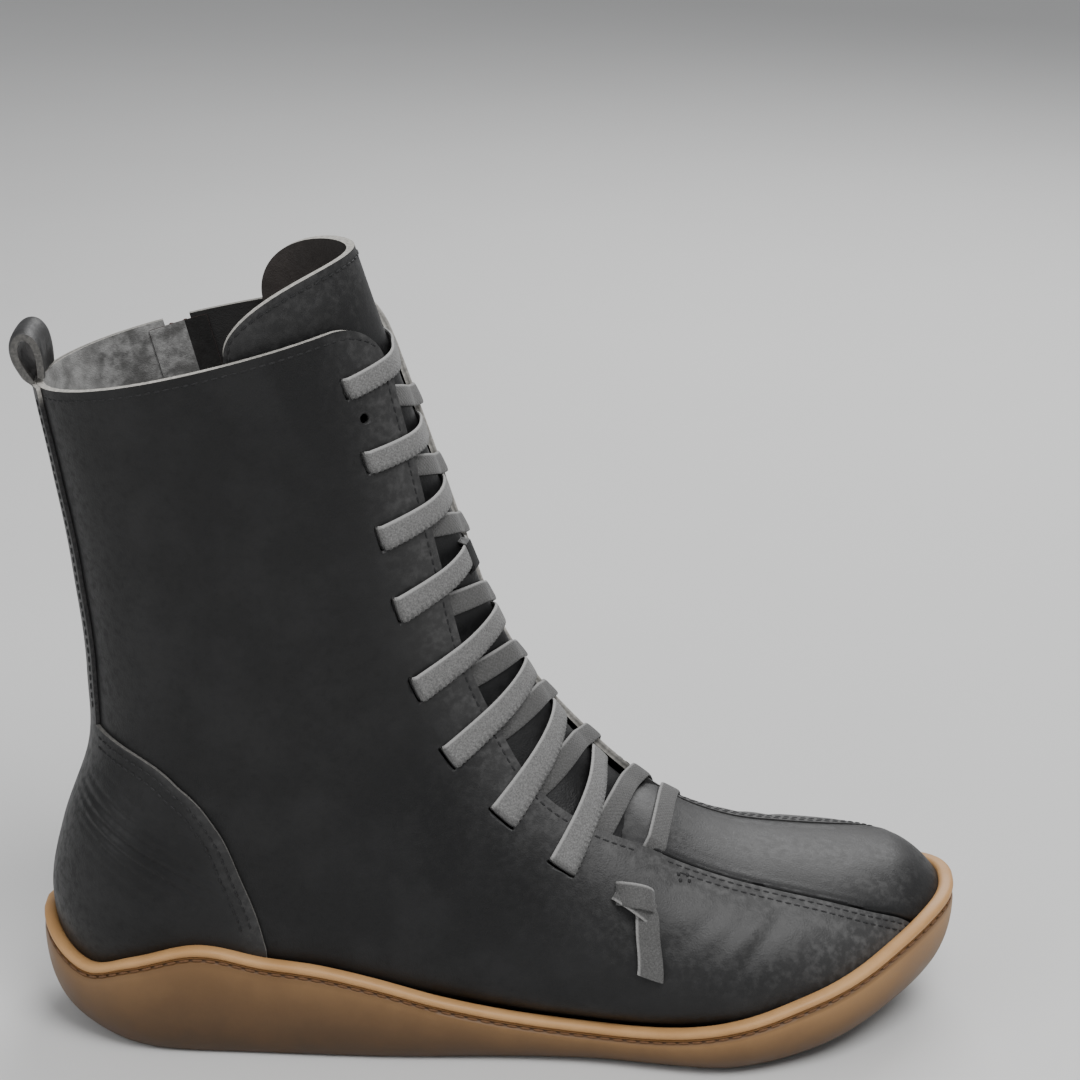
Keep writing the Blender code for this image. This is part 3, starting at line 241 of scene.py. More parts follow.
# Zip on the inner side, as x and z of its line
ZIP_TOP = np.array((37.0, 205.0))
ZIP_FOOT = np.array((79.0, 50.0))
ZIP_SLIT = 8.0
ZIP_TAPE_HALF = 9.0
ZIP_TAPE_THICK = 0.5
ZIP_TAPE_LIFT = -2.1
ZIP_TEETH_PITCH = 1.55
# length, width and height of a coil turn
ZIP_TURN = (3.0, 1.25, 1.5)
ZIP_TEETH_SPREAD = 1.35
ZIP_TEETH_LIFT = 0.9
ZIP_TEETH_SLANT = 0.45
ZIP_CUT_UNDER = 2.5
ZIP_CUT_TO = 1.09
FACING_OFFSET = 2.5
FACING_TO = 81.0
FACING_SLANT = 0.35
SLIDER_FROM_TOP = 6.0
SLIDER_LENGTH = 12.0
SLIDER_WIDTH = 8.6
SLIDER_BASE = 0.5
SLIDER_THICK = 2.0
BAIL_OPEN = 3.0
BAIL_THICK = 1.2
TAB_LENGTH = 21.0
TAB_WIDTH = 6.4
TAB_THICK = 1.4
TAB_BAR = 1.4
TAB_TILT = 5.0
TAB_RING_LONG = 4.0
TAB_RING_WIDE = 2.3
ZIP_STITCH_ROWS = (6.2, 8.8, -6.2)

# Stitches and lights
STITCH_PITCH = 2.7
BACKSTAY_PITCH = 2.8
ZIP_PITCH = 3.0
SOLE_PITCH = 3.9
# inset from the edge, first and last station
SEAM_ROWS = ((1.5, 4.0, 90.0), (3.7, 10.0, 86.0), (2.4, 100.0, 252.0))
COLLAR_ROW_INSET = 2.6
# name, place in metres, size and power
LIGHTS = (("key", (0.35, -0.55, 1.15), 0.7, 13.0), ("fill", (-0.9, -0.7, 0.6), 0.9, 4.5),
          ("back", (0.3, 0.9, 0.9), 0.8, 10.0))
LIGHT_AIM = (0.0, 0.0, 0.10)
SKY_COLOUR = (0.92, 0.93, 0.95, 1.0)
SKY_STRENGTH = 0.38
FLOOR_HALF = 3.0


# Curves and the last

def through(knots, values, at):
    """Smooth cubic through a table's rows, each slope taken from the neighbouring rows."""
    at = np.clip(np.asarray(at, float), knots[0], knots[-1])
    slope = np.gradient(values, knots)
    i = np.clip(np.searchsorted(knots, at) - 1, 0, len(knots) - 2)
    span = knots[i + 1] - knots[i]
    t = (at - knots[i]) / span
    start = (2 * t**3 - 3 * t**2 + 1) * values[i] + (t**3 - 2 * t**2 + t) * span * slope[i]
    return start + (3 * t**2 - 2 * t**3) * values[i + 1] + (t**3 - t**2) * span * slope[i + 1]


def by_side(table, at, side):
    """Value of a table with an outer and an inner column."""
    return np.where(np.asarray(side) < 0, through(table[:, 0], table[:, 1], at),
                    through(table[:, 0], table[:, 2], at))


def smooth(value, start, end):
    """Soft step from 0 at start to 1 at end."""
    t = np.clip((np.asarray(value, float) - start) / (end - start), 0.0, 1.0)
    return t * t * (3.0 - 2.0 * t)


def rounded(distance, radius):
    """Quarter ellipse from 0 at no distance to 1 at the radius and beyond."""
    near = np.clip(distance / radius, 0.0, 1.0)
    return np.sqrt(np.clip(1.0 - (1.0 - near) ** 2, 0.0, 1.0))


def unit(vectors):
    """Vectors of length one."""
    return vectors / np.linalg.norm(vectors, axis=-1, keepdims=True)


def squared(values, power):
    """Values pushed out towards plus or minus one: their sign times a power of their size."""
    return np.sign(values) * np.abs(values) ** power


def arrays(*values):
    """Numbers or arrays as arrays of one shape."""
    return np.broadcast_arrays(*[np.asarray(value, float) for value in values])


def lengths(line):
    """Length along a polyline up to each of its points."""
    return np.concatenate([[0.0], np.cumsum(np.linalg.norm(np.diff(line, axis=0), axis=1))])


def section(u, *columns):
    """Columns of the sections' table at stations u."""
    return [through(STATIONS, SECTIONS[:, column], u) for column in columns]


def angle_of(up, belly, low_power, top_power):
    """Angle of a section's point from its share of the way up, back through the superellipse."""
    below = np.clip(1.0 - up / belly, 0.0, 1.0) ** (low_power / 2)
    over = np.clip((up - belly) / (1.0 - belly), 0.0, 1.0) ** (top_power / 2)
    return np.arccos(np.where(up < belly, below, -over))


def last(u, angle, side):
    """Point of the last: two superellipse halves of section u, angle 0 at the back, pi on the ridge."""
    u, angle, side = arrays(u, angle, side)
    row = section(u, *range(SECTIONS.shape[1]))
    from_tip = TIP_X - row[RIDGE_X]
    ridge_z = row[BACK_Z] + (row[RIDGE_Z] - row[BACK_Z]) * rounded(from_tip, TOE_ROUND_SIDE)
    half = np.where(side < 0, row[OUTER], row[INNER]) * rounded(from_tip, TOE_ROUND_PLAN)
    low = angle < np.pi / 2
    power = 2.0 / np.where(low, row[LOW_POWER], row[TOP_POWER])
    across = np.abs(np.sin(angle)) ** power
    climb = np.abs(np.cos(angle)) ** power
    up = np.where(low, row[BELLY] * (1 - climb), row[BELLY] + (1 - row[BELLY]) * climb)
    x = row[BACK_X] + (row[RIDGE_X] - row[BACK_X]) * up
    y = side * half * across + row[RIDGE_Y] * up
    z = row[BACK_Z] + (ridge_z - row[BACK_Z]) * up
    return np.stack([x, y, z], -1)


def floor_height(x):
    """Height of the sole's inner floor."""
    return through(FLOORS[:, 0], FLOORS[:, 1], x)


def wall_foot(x):
    """Height of the upper's lower edge, just clear of the sole's floor."""
    return floor_height(x) + GAP


def lip_height(x, side):
    """Height of the sole's lip."""
    return by_side(LIPS, x, side)


TABLE_STEP = 0.5
TABLE_STATIONS = np.arange(0.0, STATIONS[-1], TABLE_STEP)
TABLE_DISTANCES = np.arange(0.0, 220.0, TABLE_STEP)


def section_tables(side):
    """Angle at each distance from the ridge, and distance to the lower edge or back, for each station."""
    angles = np.linspace(np.pi, 0.0, 361)
    line = last(TABLE_STATIONS[:, None], angles[None, :], side)
    steps = np.linalg.norm(np.diff(line, axis=1), axis=-1)
    length = np.concatenate([np.zeros((len(line), 1)), np.cumsum(steps, axis=1)], axis=1)
    table = np.array([np.interp(TABLE_DISTANCES, row, angles) for row in length])
    above = line[..., 2] - wall_foot(line[..., 0])
    below = above < 0.0
    first = np.where(below.any(axis=1), below.argmax(axis=1), len(angles) - 1)
    first = np.maximum(first, 1)
    row = np.arange(len(line))
    high, low = above[row, first - 1], above[row, first]
    share = np.where(low < 0.0, high / np.where(high == low, 1.0, high - low), 1.0)
    reach = length[row, first - 1] + share * (length[row, first] - length[row, first - 1])
    return table, reach


ANGLES_OUTER, REACH_OUTER = section_tables(-1)
ANGLES_INNER, REACH_INNER = section_tables(1)


def looked_up(table, u, distance):
    """Bilinear reading of a table of angles."""
    row = np.clip(u / TABLE_STEP, 0.0, table.shape[0] - 1.001)
    column = np.clip(distance / TABLE_STEP, 0.0, table.shape[1] - 1.001)
    i, j = row.astype(int), column.astype(int)
    s, t = row - i, column - j
    near = table[i, j] * (1 - t) + table[i, j + 1] * t
    far = table[i + 1, j] * (1 - t) + table[i + 1, j + 1] * t
    return near * (1 - s) + far * s


def reach_at(u, side):
    """Distance from the ridge to the lower edge or the back line."""
    return np.interp(u, TABLE_STATIONS, REACH_OUTER if side < 0 else REACH_INNER)


def bare_skin(u, a):
    """Point of the last at station u and signed distance a from the ridge."""
    inner = a > 0.0
    angle = np.where(inner, looked_up(ANGLES_INNER, u, np.abs(a)), looked_up(ANGLES_OUTER, u, np.abs(a)))
    return last(u, angle, np.where(inner, 1.0, -1.0))


SKIN_STEP = 0.8
SIDE_FROM = 60.0


def skin_axes(u, a):
    """Directions on the last at (u, a): along rising stations, across to the inner side, and outwards."""
    along = unit(bare_skin(u + SKIN_STEP, a) - bare_skin(u - SKIN_STEP, a))
    across = bare_skin(u, a + SKIN_STEP) - bare_skin(u, a - SKIN_STEP)
    out = unit(np.cross(across, along))
    return along, np.cross(along, out), out


def skin(u, a, lift=0.0):
    """Point at station u and signed distance a from the ridge, lifted off the last along its normal."""
    u, a, lift = arrays(u, a, lift)
    return bare_skin(u, a) + skin_axes(u, a)[2] * lift[..., None]


def side_angle(x, z):
    """Station and angle of the last seen at x and z from the side.

    Each section is a straight line in the side view: its station is found by halving, and the share of
    the line gives the angle back through the superellipse.
    """
    x, z = arrays(x, z)
    low, high = np.full(x.shape, SIDE_FROM), np.full(x.shape, STATIONS[-1])
    for _ in range(32):
        u = (low + high) / 2
        ridge_x, ridge_z, back_x, back_z = section(u, RIDGE_X, RIDGE_Z, BACK_X, BACK_Z)
        above = (ridge_x - back_x) * (z - back_z) - (ridge_z - back_z) * (x - back_x) > 0.0
        low, high = np.where(above, u, low), np.where(above, high, u)
    dx, dz = ridge_x - back_x, ridge_z - back_z
    up = np.clip(((x - back_x) * dx + (z - back_z) * dz) / (dx**2 + dz**2), 0.0, 1.0)
    return u, angle_of(up, *section(u, BELLY, LOW_POWER, TOP_POWER))


def side_point(x, z, side, lift=0.0):
    """Point of the last seen at x and z from the side, lifted off it."""
    x, z, lift = arrays(x, z, lift)

    def bare(px, pz):
        u, angle = side_angle(px, pz)
        return last(u, angle, side)

    forward = bare(x + SKIN_STEP, z) - bare(x - SKIN_STEP, z)
    upward = bare(x, z + SKIN_STEP) - bare(x, z - SKIN_STEP)
    return bare(x, z) + unit(np.cross(upward, forward) * side) * lift[..., None]


def contour(height):
    """Loop where the last stands at height(x, side): toe tip, outer side, heel, inner side."""
    stations = np.concatenate([np.linspace(0.0, 30.0, 240), np.linspace(30.0, COLLAR, 700)[1:]])
    angles = np.linspace(0.0, np.pi, 541)
    sides = []
    for side in (-1, 1):
        points = last(stations[:, None], angles[None, :], side)
        above = points[..., 2] - height(points[..., 0], side)
        rising = (above[:, :-1] < 0) & (above[:, 1:] >= 0)
        rows = np.nonzero(rising.any(axis=1))[0]
        columns = rising[rows].argmax(axis=1)
        low, high = above[rows, columns], above[rows, columns + 1]
        share = (low / (low - high))[:, None]
        sides.append(points[rows, columns] * (1 - share) + points[rows, columns + 1] * share)
    toe = (sides[0][0] + sides[1][0]) / 2
    heel = (sides[0][-1] + sides[1][-1]) / 2
    halves = []
    for points in sides:
        halves.append(resampled(np.vstack([toe, points, heel]), SOLE_POINTS + 1))
    return np.vstack([halves[0], halves[1][-2:0:-1]])


def resampled(line, count):
    """Points at even steps along a polyline."""
    length = lengths(line)
    spots = np.linspace(0.0, length[-1], count)
    return np.stack([np.interp(spots, length, line[:, k]) for k in range(line.shape[1])], -1)


def plan_normals(loop):
    """Outward normals of a loop in plan, averaged over a few neighbours."""
    tangent = np.roll(loop, -1, axis=0) - np.roll(loop, 1, axis=0)
    normal = unit(np.stack([-tangent[:, 1], tangent[:, 0], np.zeros(len(loop))], -1))
    normal = unit(sum(np.roll(normal, k, axis=0) for k in range(-4, 5)))
    return normal * np.sign(np.sum((loop - loop.mean(axis=0)) * normal))


def spread(loop, distance):
    """Loop moved outwards in plan by a distance, one for all points or one for each."""
    return loop + plan_normals(loop) * np.broadcast_to(distance, len(loop))[:, None]


def at_height(loop, height):
    """Loop with its points set to the heights."""
    return np.column_stack([loop[:, 0], loop[:, 1], np.broadcast_to(height, len(loop))])


# Meshes

def placed(points):
    """Millimetres from the heel to metres about the boot's middle."""
    return (np.asarray(points, float) - MIDDLE) * MILLIMETRE


class Surface:
    """Points, quads, material numbers and two texture maps of a piece, gathered before it becomes a mesh."""

    def __init__(self):
        self.points, self.quads, self.finish, self.lay, self.mask = [], [], [], [], []
        self.count = 0

    def add(self, points, quads, finish=0, lay=None, mask=None):
        """Append points with quads that number them from 0."""
        points = np.asarray(points, float).reshape(-1, 3)
        blank = np.zeros((len(points), 2))
        self.points.append(points)
        self.quads.append(np.asarray(quads, int) + self.count)
        self.finish.append(np.broadcast_to(finish, len(quads)))
        self.lay.append(blank if lay is None else np.asarray(lay, float).reshape(-1, 2))
        self.mask.append(blank if mask is None else np.asarray(mask, float).reshape(-1, 2))
        self.count += len(points)

    def piece(self, name, materials, slot, body="boot", nodes=(), sharp=50.0):
        """Mesh object riding on a body, standing in for the solids that it hides; its finish slot is not
        used.
        """
        points, quads = np.concatenate(self.points), np.concatenate(self.quads)
        mesh = bpy.data.meshes.new(name)
        mesh.vertices.add(len(points))
        mesh.vertices.foreach_set("co", placed(points).astype(np.float32).ravel())
        mesh.loops.add(quads.size)
        mesh.loops.foreach_set("vertex_index", quads.astype(np.int32).ravel())
        mesh.polygons.add(len(quads))
        mesh.polygons.foreach_set("loop_start", np.arange(0, quads.size, 4, dtype=np.int32))
        mesh.polygons.foreach_set("material_index", np.concatenate(self.finish).astype(np.int32))
        mesh.update(calc_edges=True)
        for label, values in (("lay", self.lay), ("mask", self.mask)):
            layer = mesh.uv_layers.new(name=label)
            layer.data.foreach_set("uv", np.concatenate(values)[quads.ravel()].astype(np.float32).ravel())
        for material in materials:
            mesh.materials.append(material)
        mesh.shade_smooth()
        mesh.set_sharp_from_angle(angle=np.radians(sharp))
        thing = bpy.data.objects.new(name, mesh)
        bpy.context.scene.collection.objects.link(thing)
        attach(thing, body)
        if nodes:
            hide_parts(*nodes)
        return thing


def grid_quads(rows, columns, closed=False):
    """Quads of a grid of points, its columns joined round when closed."""
    across = columns if closed else columns - 1
    i, j = np.meshgrid(np.arange(rows - 1), np.arange(across), indexing="ij")
    here, beside = i * columns + j, i * columns + (j + 1) % columns
    return np.stack([here, beside, beside + columns, here + columns], -1).reshape(-1, 4)


def turned_out(points, quads):
    """Quads of a closed surface, turned round if the volume that they enclose comes out negative."""
    a, b, c, d = [points.reshape(-1, 3)[quads[:, k]] for k in range(4)]
    volume = np.sum(np.cross(a, b) * c) + np.sum(np.cross(a, c) * d)
    return quads if volume > 0.0 else quads[:, ::-1]


def add_slab(surface, top, bottom, lay=None, mask=None, finishes=(0, 1, 2), core=1.0):
    """Closed sheet between a top and a bottom grid, with finishes for top, bottom and rim.

    A ring half-way down the rim carries the mask times core, so that a cut edge can be dark in its middle.
    """
    rows, columns = top.shape[:2]
    count = rows * columns
    quads = grid_quads(rows, columns)
    index = np.arange(count).reshape(rows, columns)
    edge = np.concatenate([index[0, :], index[1:, -1], index[-1, -2::-1], index[-2:0:-1, 0]])
    ring = 2 * count + np.arange(len(edge))
    after, past = np.roll(edge, -1), np.roll(ring, -1)
    rims = [np.stack([after, edge, ring, past], -1), np.stack([past, ring, edge + count, after + count], -1)]
    under = np.broadcast_to(finishes[1], len(quads))
    finish = np.concatenate([np.full(len(quads), finishes[0]), under, np.full(2 * len(edge), finishes[2])])
    flat = [top.reshape(-1, 3), bottom.reshape(-1, 3)]
    flat.append((flat[0][edge] + flat[1][edge]) / 2)
    maps = []
    for values, share in ((lay, 1.0), (mask, core)):
        values = None if values is None else values.reshape(-1, 2)
        maps.append(None if values is None else np.concatenate([values, values, values[edge] * share]))
    flat = np.concatenate(flat)
    surface.add(flat, turned_out(flat, np.concatenate([quads, quads[:, ::-1] + count, *rims])), finish, *maps)


def tube_quads(rows, columns):
    """Quads of a tube through rings of an even number of points, its ends filled."""
    half = np.arange(columns // 2 - 1)
    cap = np.stack([half, half + 1, columns - 2 - half, columns - 1 - half], -1)
    return np.concatenate([grid_quads(rows, columns, closed=True), cap[:, ::-1], cap + (rows - 1) * columns])


def add_tube(surface, rings, finish=0, lay=None, mask=None):
    """Closed tube through rings."""
    surface.add(rings, turned_out(rings, tube_quads(*rings.shape[:2])), finish, lay, mask)


def stitch_template(length, width, height):
    """Rounded stitch: six-sided rings that swell to the middle, as points of along, across and out."""
    along = np.array((-1.0, -0.7, 0.0, 0.7, 1.0)) * length / 2
    swell = np.array((0.35, 0.85, 1.0, 0.85, 0.35))
    turn = np.arange(6) * np.pi / 3
    ring = np.column_stack([np.cos(turn) * width / 2, np.sin(turn) * height / 2])
    points = np.empty((5, 6, 3))
    points[..., 0] = along[:, None]
    points[..., 1:] = ring[None] * swell[:, None, None]
    return points


def add_copies(surface, template, origins, axes, finish=0):
    """Copies of a ring template at origins, turned into axes given as along, across and out."""
    flat = template.reshape(-1, 3)
    points = origins[:, None, :] + np.einsum("pk,nkc->npc", flat, axes)
    faces = turned_out(points[0] - origins[0], tube_quads(*template.shape[:2]))
    offset = np.arange(len(origins))[:, None, None] * len(flat)
    surface.add(points, (faces[None] + offset).reshape(-1, 4), finish)


STITCH = stitch_template(1.9, 0.7, 0.6)


def line_axes(line, out):
    """Directions along a line of points, across it and outwards."""
    along = unit(np.gradient(line, axis=0))
    across = unit(np.cross(out, along))
    return np.stack([along, across, np.cross(along, across)], 1)


def add_stitches(surface, line, out, pitch, template, finish=0):
    """Stitches at an even pitch along a line of points with outward normals."""
    length = lengths(line)
    count = max(int(round(length[-1] / pitch)), 2)
    spots = (np.arange(count) + 0.5) * length[-1] / count
    at = np.stack([np.interp(spots, length, line[:, k]) for k in range(3)], -1)
    normal = unit(np.stack([np.interp(spots, length, out[:, k]) for k in range(3)], -1))
    add_copies(surface, template, at, line_axes(at, normal), finish)


# Shader groups and materials

def node(tree, kind, **values):
    """New node with its properties and, for keys that name a socket, its input values."""
    made = tree.nodes.new(kind)
    for key, value in values.items():
        if hasattr(made, key):
            setattr(made, key, value)
        else:
            made.inputs[key.replace("_", " ")].default_value = value
    return made


def join(tree, source, target):
    """Link an output socket to an input socket."""
    tree.links.new(source, target)


def math_node(tree, operation, *values):
    """Sum, product or like of sockets or numbers."""
    made = node(tree, "ShaderNodeMath", operation=operation)
    for socket, value in zip(made.inputs, values):
        if isinstance(value, (int, float)):
            socket.default_value = value
        else:
            join(tree, value, socket)
    return made.outputs[0]


def new_group(name, inputs, outputs):
    """Empty shader group with named sockets, given as (name, kind, value) and (name, kind)."""
    tree = bpy.data.node_groups.new(name, "ShaderNodeTree")
    for label, kind, value in inputs:
        socket = tree.interface.new_socket(label, in_out="INPUT", socket_type=f"NodeSocket{kind}")
        if value is not None:
            socket.default_value = value
    for label, kind in outputs:
        tree.interface.new_socket(label, in_out="OUTPUT", socket_type=f"NodeSocket{kind}")
    return tree, tree.nodes.new("NodeGroupInput"), tree.nodes.new("NodeGroupOutput")


def blotches_group():
    """Mask of soft clouds: noise read between a low and a high value."""
    taken = [("Vector", "Vector", None), ("Scale", "Float", 80.0),
             ("Low", "Float", 0.4), ("High", "Float", 0.65)]
    tree, given, out = new_group("blotches", taken, [("Mask", "Float")])
    noise = node(tree, "ShaderNodeTexNoise", Detail=4.0, Roughness=0.6)
    spread_out = node(tree, "ShaderNodeMapRange", interpolation_type="SMOOTHSTEP")
    join(tree, given.outputs["Vector"], noise.inputs["Vector"])
    join(tree, given.outputs["Scale"], noise.inputs["Scale"])
    join(tree, noise.outputs["Fac"], spread_out.inputs["Value"])
    join(tree, given.outputs["Low"], spread_out.inputs["From Min"])
    join(tree, given.outputs["High"], spread_out.inputs["From Max"])
    join(tree, spread_out.outputs["Result"], out.inputs["Mask"])
    return tree


def grain_group():
    """Height of a fine grain: small cells with a finer noise over them."""
    tree, given, out = new_group("grain", [("Vector", "Vector", None), ("Scale", "Float", 900.0)],
                                 [("Height", "Float")])
    cells = node(tree, "ShaderNodeTexVoronoi", feature="SMOOTH_F1", Smoothness=0.4)
    noise = node(tree, "ShaderNodeTexNoise", Detail=5.0, Roughness=0.7)
    for texture in (cells, noise):
        join(tree, given.outputs["Vector"], texture.inputs["Vector"])
    join(tree, given.outputs["Scale"], cells.inputs["Scale"])
    join(tree, math_node(tree, "MULTIPLY", given.outputs["Scale"], 0.35), noise.inputs["Scale"])
    total = math_node(tree, "ADD", cells.outputs["Distance"], noise.outputs["Fac"])
    join(tree, total, out.inputs["Height"])
    return tree


def knit_group():
    """Height of a knit in a map of along and across: crossed ribs, broken up by noise."""
    taken = [("Map", "Vector", None), ("Along", "Float", 1.3), ("Across", "Float", 2.0)]
    tree, given, out = new_group("knit", taken, [("Height", "Float")])
    split = node(tree, "ShaderNodeSeparateXYZ")
    join(tree, given.outputs["Map"], split.inputs[0])
    waves = []
    for axis, label in (("X", "Along"), ("Y", "Across")):
        times = math_node(tree, "MULTIPLY", split.outputs[axis], given.outputs[label])
        waves.append(math_node(tree, "SINE", math_node(tree, "MULTIPLY", times, 2.0 * np.pi)))
    noise = node(tree, "ShaderNodeTexNoise", Scale=2.2, Detail=3.0)
    join(tree, given.outputs["Map"], noise.inputs["Vector"])
    cross = math_node(tree, "MULTIPLY", *waves)
    total = math_node(tree, "MULTIPLY_ADD", cross, 0.35, noise.outputs["Fac"])
    join(tree, total, out.inputs["Height"])
    return tree


BLOTCHES = blotches_group()
GRAIN = grain_group()
KNIT = knit_group()


class Finish:
    """Material under construction: its node tree, its shader and the coordinates of the piece."""

    def __init__(self, name, **values):
        self.material = bpy.data.materials.new(name)
        self.material.use_nodes = True
        self.tree = self.material.node_tree
        self.shader = self.tree.nodes["Principled BSDF"]
        for key, value in values.items():
            self.shader.inputs[key.replace("_", " ")].default_value = value
        self.place = node(self.tree, "ShaderNodeTexCoord").outputs["Object"]

    def map(self, label):
        """Coordinates of one of the piece's own texture maps."""
        return node(self.tree, "ShaderNodeUVMap", uv_map=label).outputs["UV"]

    def part(self, label, axis):
        """One axis of a texture map."""
        split = node(self.tree, "ShaderNodeSeparateXYZ")
        join(self.tree, self.map(label), split.inputs[0])
        return split.outputs[axis]

    def group(self, group, source=None, **values):
        """First output of a shared group, fed with object coordinates or another source."""
        made = node(self.tree, "ShaderNodeGroup", node_tree=group)
        join(self.tree, self.place if source is None else source, made.inputs[0])
        for key, value in values.items():
            made.inputs[key].default_value = value
        return made.outputs[0]

    def blend(self, mask, first, second):
        """Colour between two colours or sockets by a mask."""
        mix = node(self.tree, "ShaderNodeMix", data_type="RGBA")
        join(self.tree, mask, mix.inputs["Factor"])
        for socket, value in zip([s for s in mix.inputs if s.type == "RGBA"], (first, second)):
            if isinstance(value, tuple):
                socket.default_value = (*value, 1.0)
            else:
                join(self.tree, value, socket)
        return [s for s in mix.outputs if s.type == "RGBA"][0]

    def ramp(self, source, low, high):
        """Value from low to high by a mask."""
        spread_out = node(self.tree, "ShaderNodeMapRange")
        join(self.tree, source, spread_out.inputs["Value"])
        spread_out.inputs["To Min"].default_value = low
        spread_out.inputs["To Max"].default_value = high
        return spread_out.outputs["Result"]

    def math(self, operation, *values):
        """Sum, product or like of sockets or numbers."""
        return math_node(self.tree, operation, *values)

    def colour(self, source):
        """Feed the base colour."""
        join(self.tree, source, self.shader.inputs["Base Color"])

    def rough(self, source):
        """Feed the roughness."""
        join(self.tree, source, self.shader.inputs["Roughness"])

    def bump(self, *layers):
        """Feed the normal with bumps one over another: height, strength and depth in millimetres of each."""
        below = None
        for height, strength, depth in layers:
            made = node(self.tree, "ShaderNodeBump", Strength=strength, Distance=depth * MILLIMETRE)
            join(self.tree, height, made.inputs["Height"])
            if below is not None:
                join(self.tree, below, made.inputs["Normal"])
            below = made.outputs["Normal"]
        join(self.tree, below, self.shader.inputs["Normal"])


def leather_finish(name, dark, mid, pale):
    """Oiled leather: dark ground with soft clouds, paler where the map's second axis says: burnished wear on
    some pieces, painted highlight on others, such as over the vamp and along the heel counter's front edge.
    """
    made = Finish(name, Roughness=0.5, Specular_IOR_Level=0.36)
    clouds = made.group(BLOTCHES, Scale=55.0, Low=0.38, High=0.68)
    fine = made.group(BLOTCHES, Scale=420.0, Low=0.40, High=0.72)
    # Paler by the mask's second axis: burnished wear, and painted highlight where a piece's map puts one.
    wear_and_highlight = made.math("MULTIPLY", made.part("mask", "Y"), made.ramp(fine, 0.45, 1.0))
    ground = made.blend(made.math("MULTIPLY", clouds, 0.7), dark, mid)
    made.colour(made.blend(wear_and_highlight, ground, pale))
    made.rough(made.ramp(fine, 0.44, 0.60))
    made.bump((made.group(GRAIN, Scale=1900.0), 0.22, 0.2), (clouds, 0.15, 0.6))
    return made.material


def raw_edge_finish():
    """Cut edge of the leather: fibres, pale where the map says that the cut is bare."""
    made = Finish("raw_edge", Roughness=0.85)
    fibres = made.group(BLOTCHES, Scale=900.0, Low=0.3, High=0.75)
    bare = made.blend(fibres, (0.30, 0.29, 0.27), (0.52, 0.50, 0.46))
    stained = made.blend(fibres, (0.016, 0.016, 0.017), (0.045, 0.044, 0.043))
    made.colour(made.blend(made.part("mask", "X"), stained, bare))
    made.bump((fibres, 0.5, 0.2))
    return made.material


def nap(made, dark, mid, pale):
    """Brushed nap: feeds the bump, and gives the colour of clouds in three greys and the wide clouds."""
    wide = made.group(BLOTCHES, Scale=38.0, Low=0.35, High=0.65)
    small = made.group(BLOTCHES, Scale=190.0, Low=0.35, High=0.7)
    made.bump((made.group(GRAIN, Scale=2400.0), 0.4, 0.3), (small, 0.2, 0.4))
    return made.blend(made.math("MULTIPLY", small, 0.55), made.blend(wide, dark, mid), pale), wide


def suede_finish(name, *greys):
    """Napped lining."""
    made = Finish(name, Roughness=0.95, Sheen_Weight=0.25, Sheen_Roughness=0.5)
    made.colour(nap(made, *greys)[0])
    return made.material


def lining_finish(name, suede, facing):
    """Lining of the quarters: napped suede behind, smooth dark facing towards the lacing edge, by the map."""
    made = Finish(name, Roughness=0.9)
    brushed, wide = nap(made, *suede)
    slant = made.math("MULTIPLY", made.part("lay", "X"), -FACING_SLANT)
    reach = made.math("ADD", made.math("ABSOLUTE", made.part("lay", "Y")), slant)
    behind = made.math("GREATER_THAN", reach, FACING_TO - FACING_SLANT * COLLAR)
    made.colour(made.blend(behind, made.blend(wide, *facing), brushed))
    return made.material


def rubber_finish():
    """Gum rubber, faintly clouded: pale on the lip, darker down the side with painted shade, by the mask's
    first axis; its second axis paints shade in the stitch groove and on the cup's inner wall.
    """
    made = Finish("gum_rubber", Roughness=0.5, Specular_IOR_Level=0.4)
    clouds = made.group(BLOTCHES, Scale=60.0, Low=0.35, High=0.7)
    level = made.part("mask", "X")
    # Side: the gum darkened with painted shade.
    side = made.blend(clouds, (0.052, 0.027, 0.011), (0.070, 0.036, 0.014))
    lip = made.blend(clouds, (0.46, 0.250, 0.098), (0.53, 0.300, 0.125))
    shade = made.blend(level, side, lip)
    # Painted shade in the stitch groove and on the cup's inner wall, by the mask's second axis.
    made.colour(made.blend(made.part("mask", "Y"), shade, (0.085, 0.038, 0.014)))
    made.rough(made.ramp(clouds, 0.42, 0.56))
    made.bump((made.group(GRAIN, Scale=1500.0), 0.12, 0.12))
    return made.material


def thread_finish(name, first, second):
    """Waxed thread with a twist along it."""
    made = Finish(name, Roughness=0.7)
    made.colour(made.blend(made.group(BLOTCHES, Scale=1500.0, Low=0.35, High=0.7), first, second))
    made.bump((made.group(GRAIN, Scale=3500.0), 0.4, 0.15))
    return made.material


def lace_finish(name, low, high, selvedge):
    """Flat knitted elastic: fine heathered greys in crossed ribs, with a pale smooth upper selvedge."""
    made = Finish(name, Roughness=0.85, Sheen_Weight=0.15, Sheen_Roughness=0.4)
    knit = made.group(KNIT, made.map("lay"), Along=0.62, Across=0.75)
    heather = made.group(BLOTCHES, Scale=2200.0, Low=0.34, High=0.68)
    body = made.blend(heather, low, high)
    dotted = made.blend(made.math("MULTIPLY", made.part("mask", "Y"), 0.8), body, (0.03, 0.03, 0.03))
    made.colour(made.blend(made.part("mask", "X"), dotted, selvedge))
    made.bump((knit, 0.5, 0.3), (heather, 0.25, 0.15))
    return made.material


def tape_finish():
    """Woven zip tape, dark brown with crossed threads."""
    made = Finish("zip_tape_weave", Roughness=0.85)
    weave = made.group(KNIT, made.map("lay"), Along=1.6, Across=1.6)
    made.colour(made.blend(weave, (0.020, 0.010, 0.009), (0.060, 0.030, 0.024)))
    made.bump((weave, 0.5, 0.25))
    return made.material


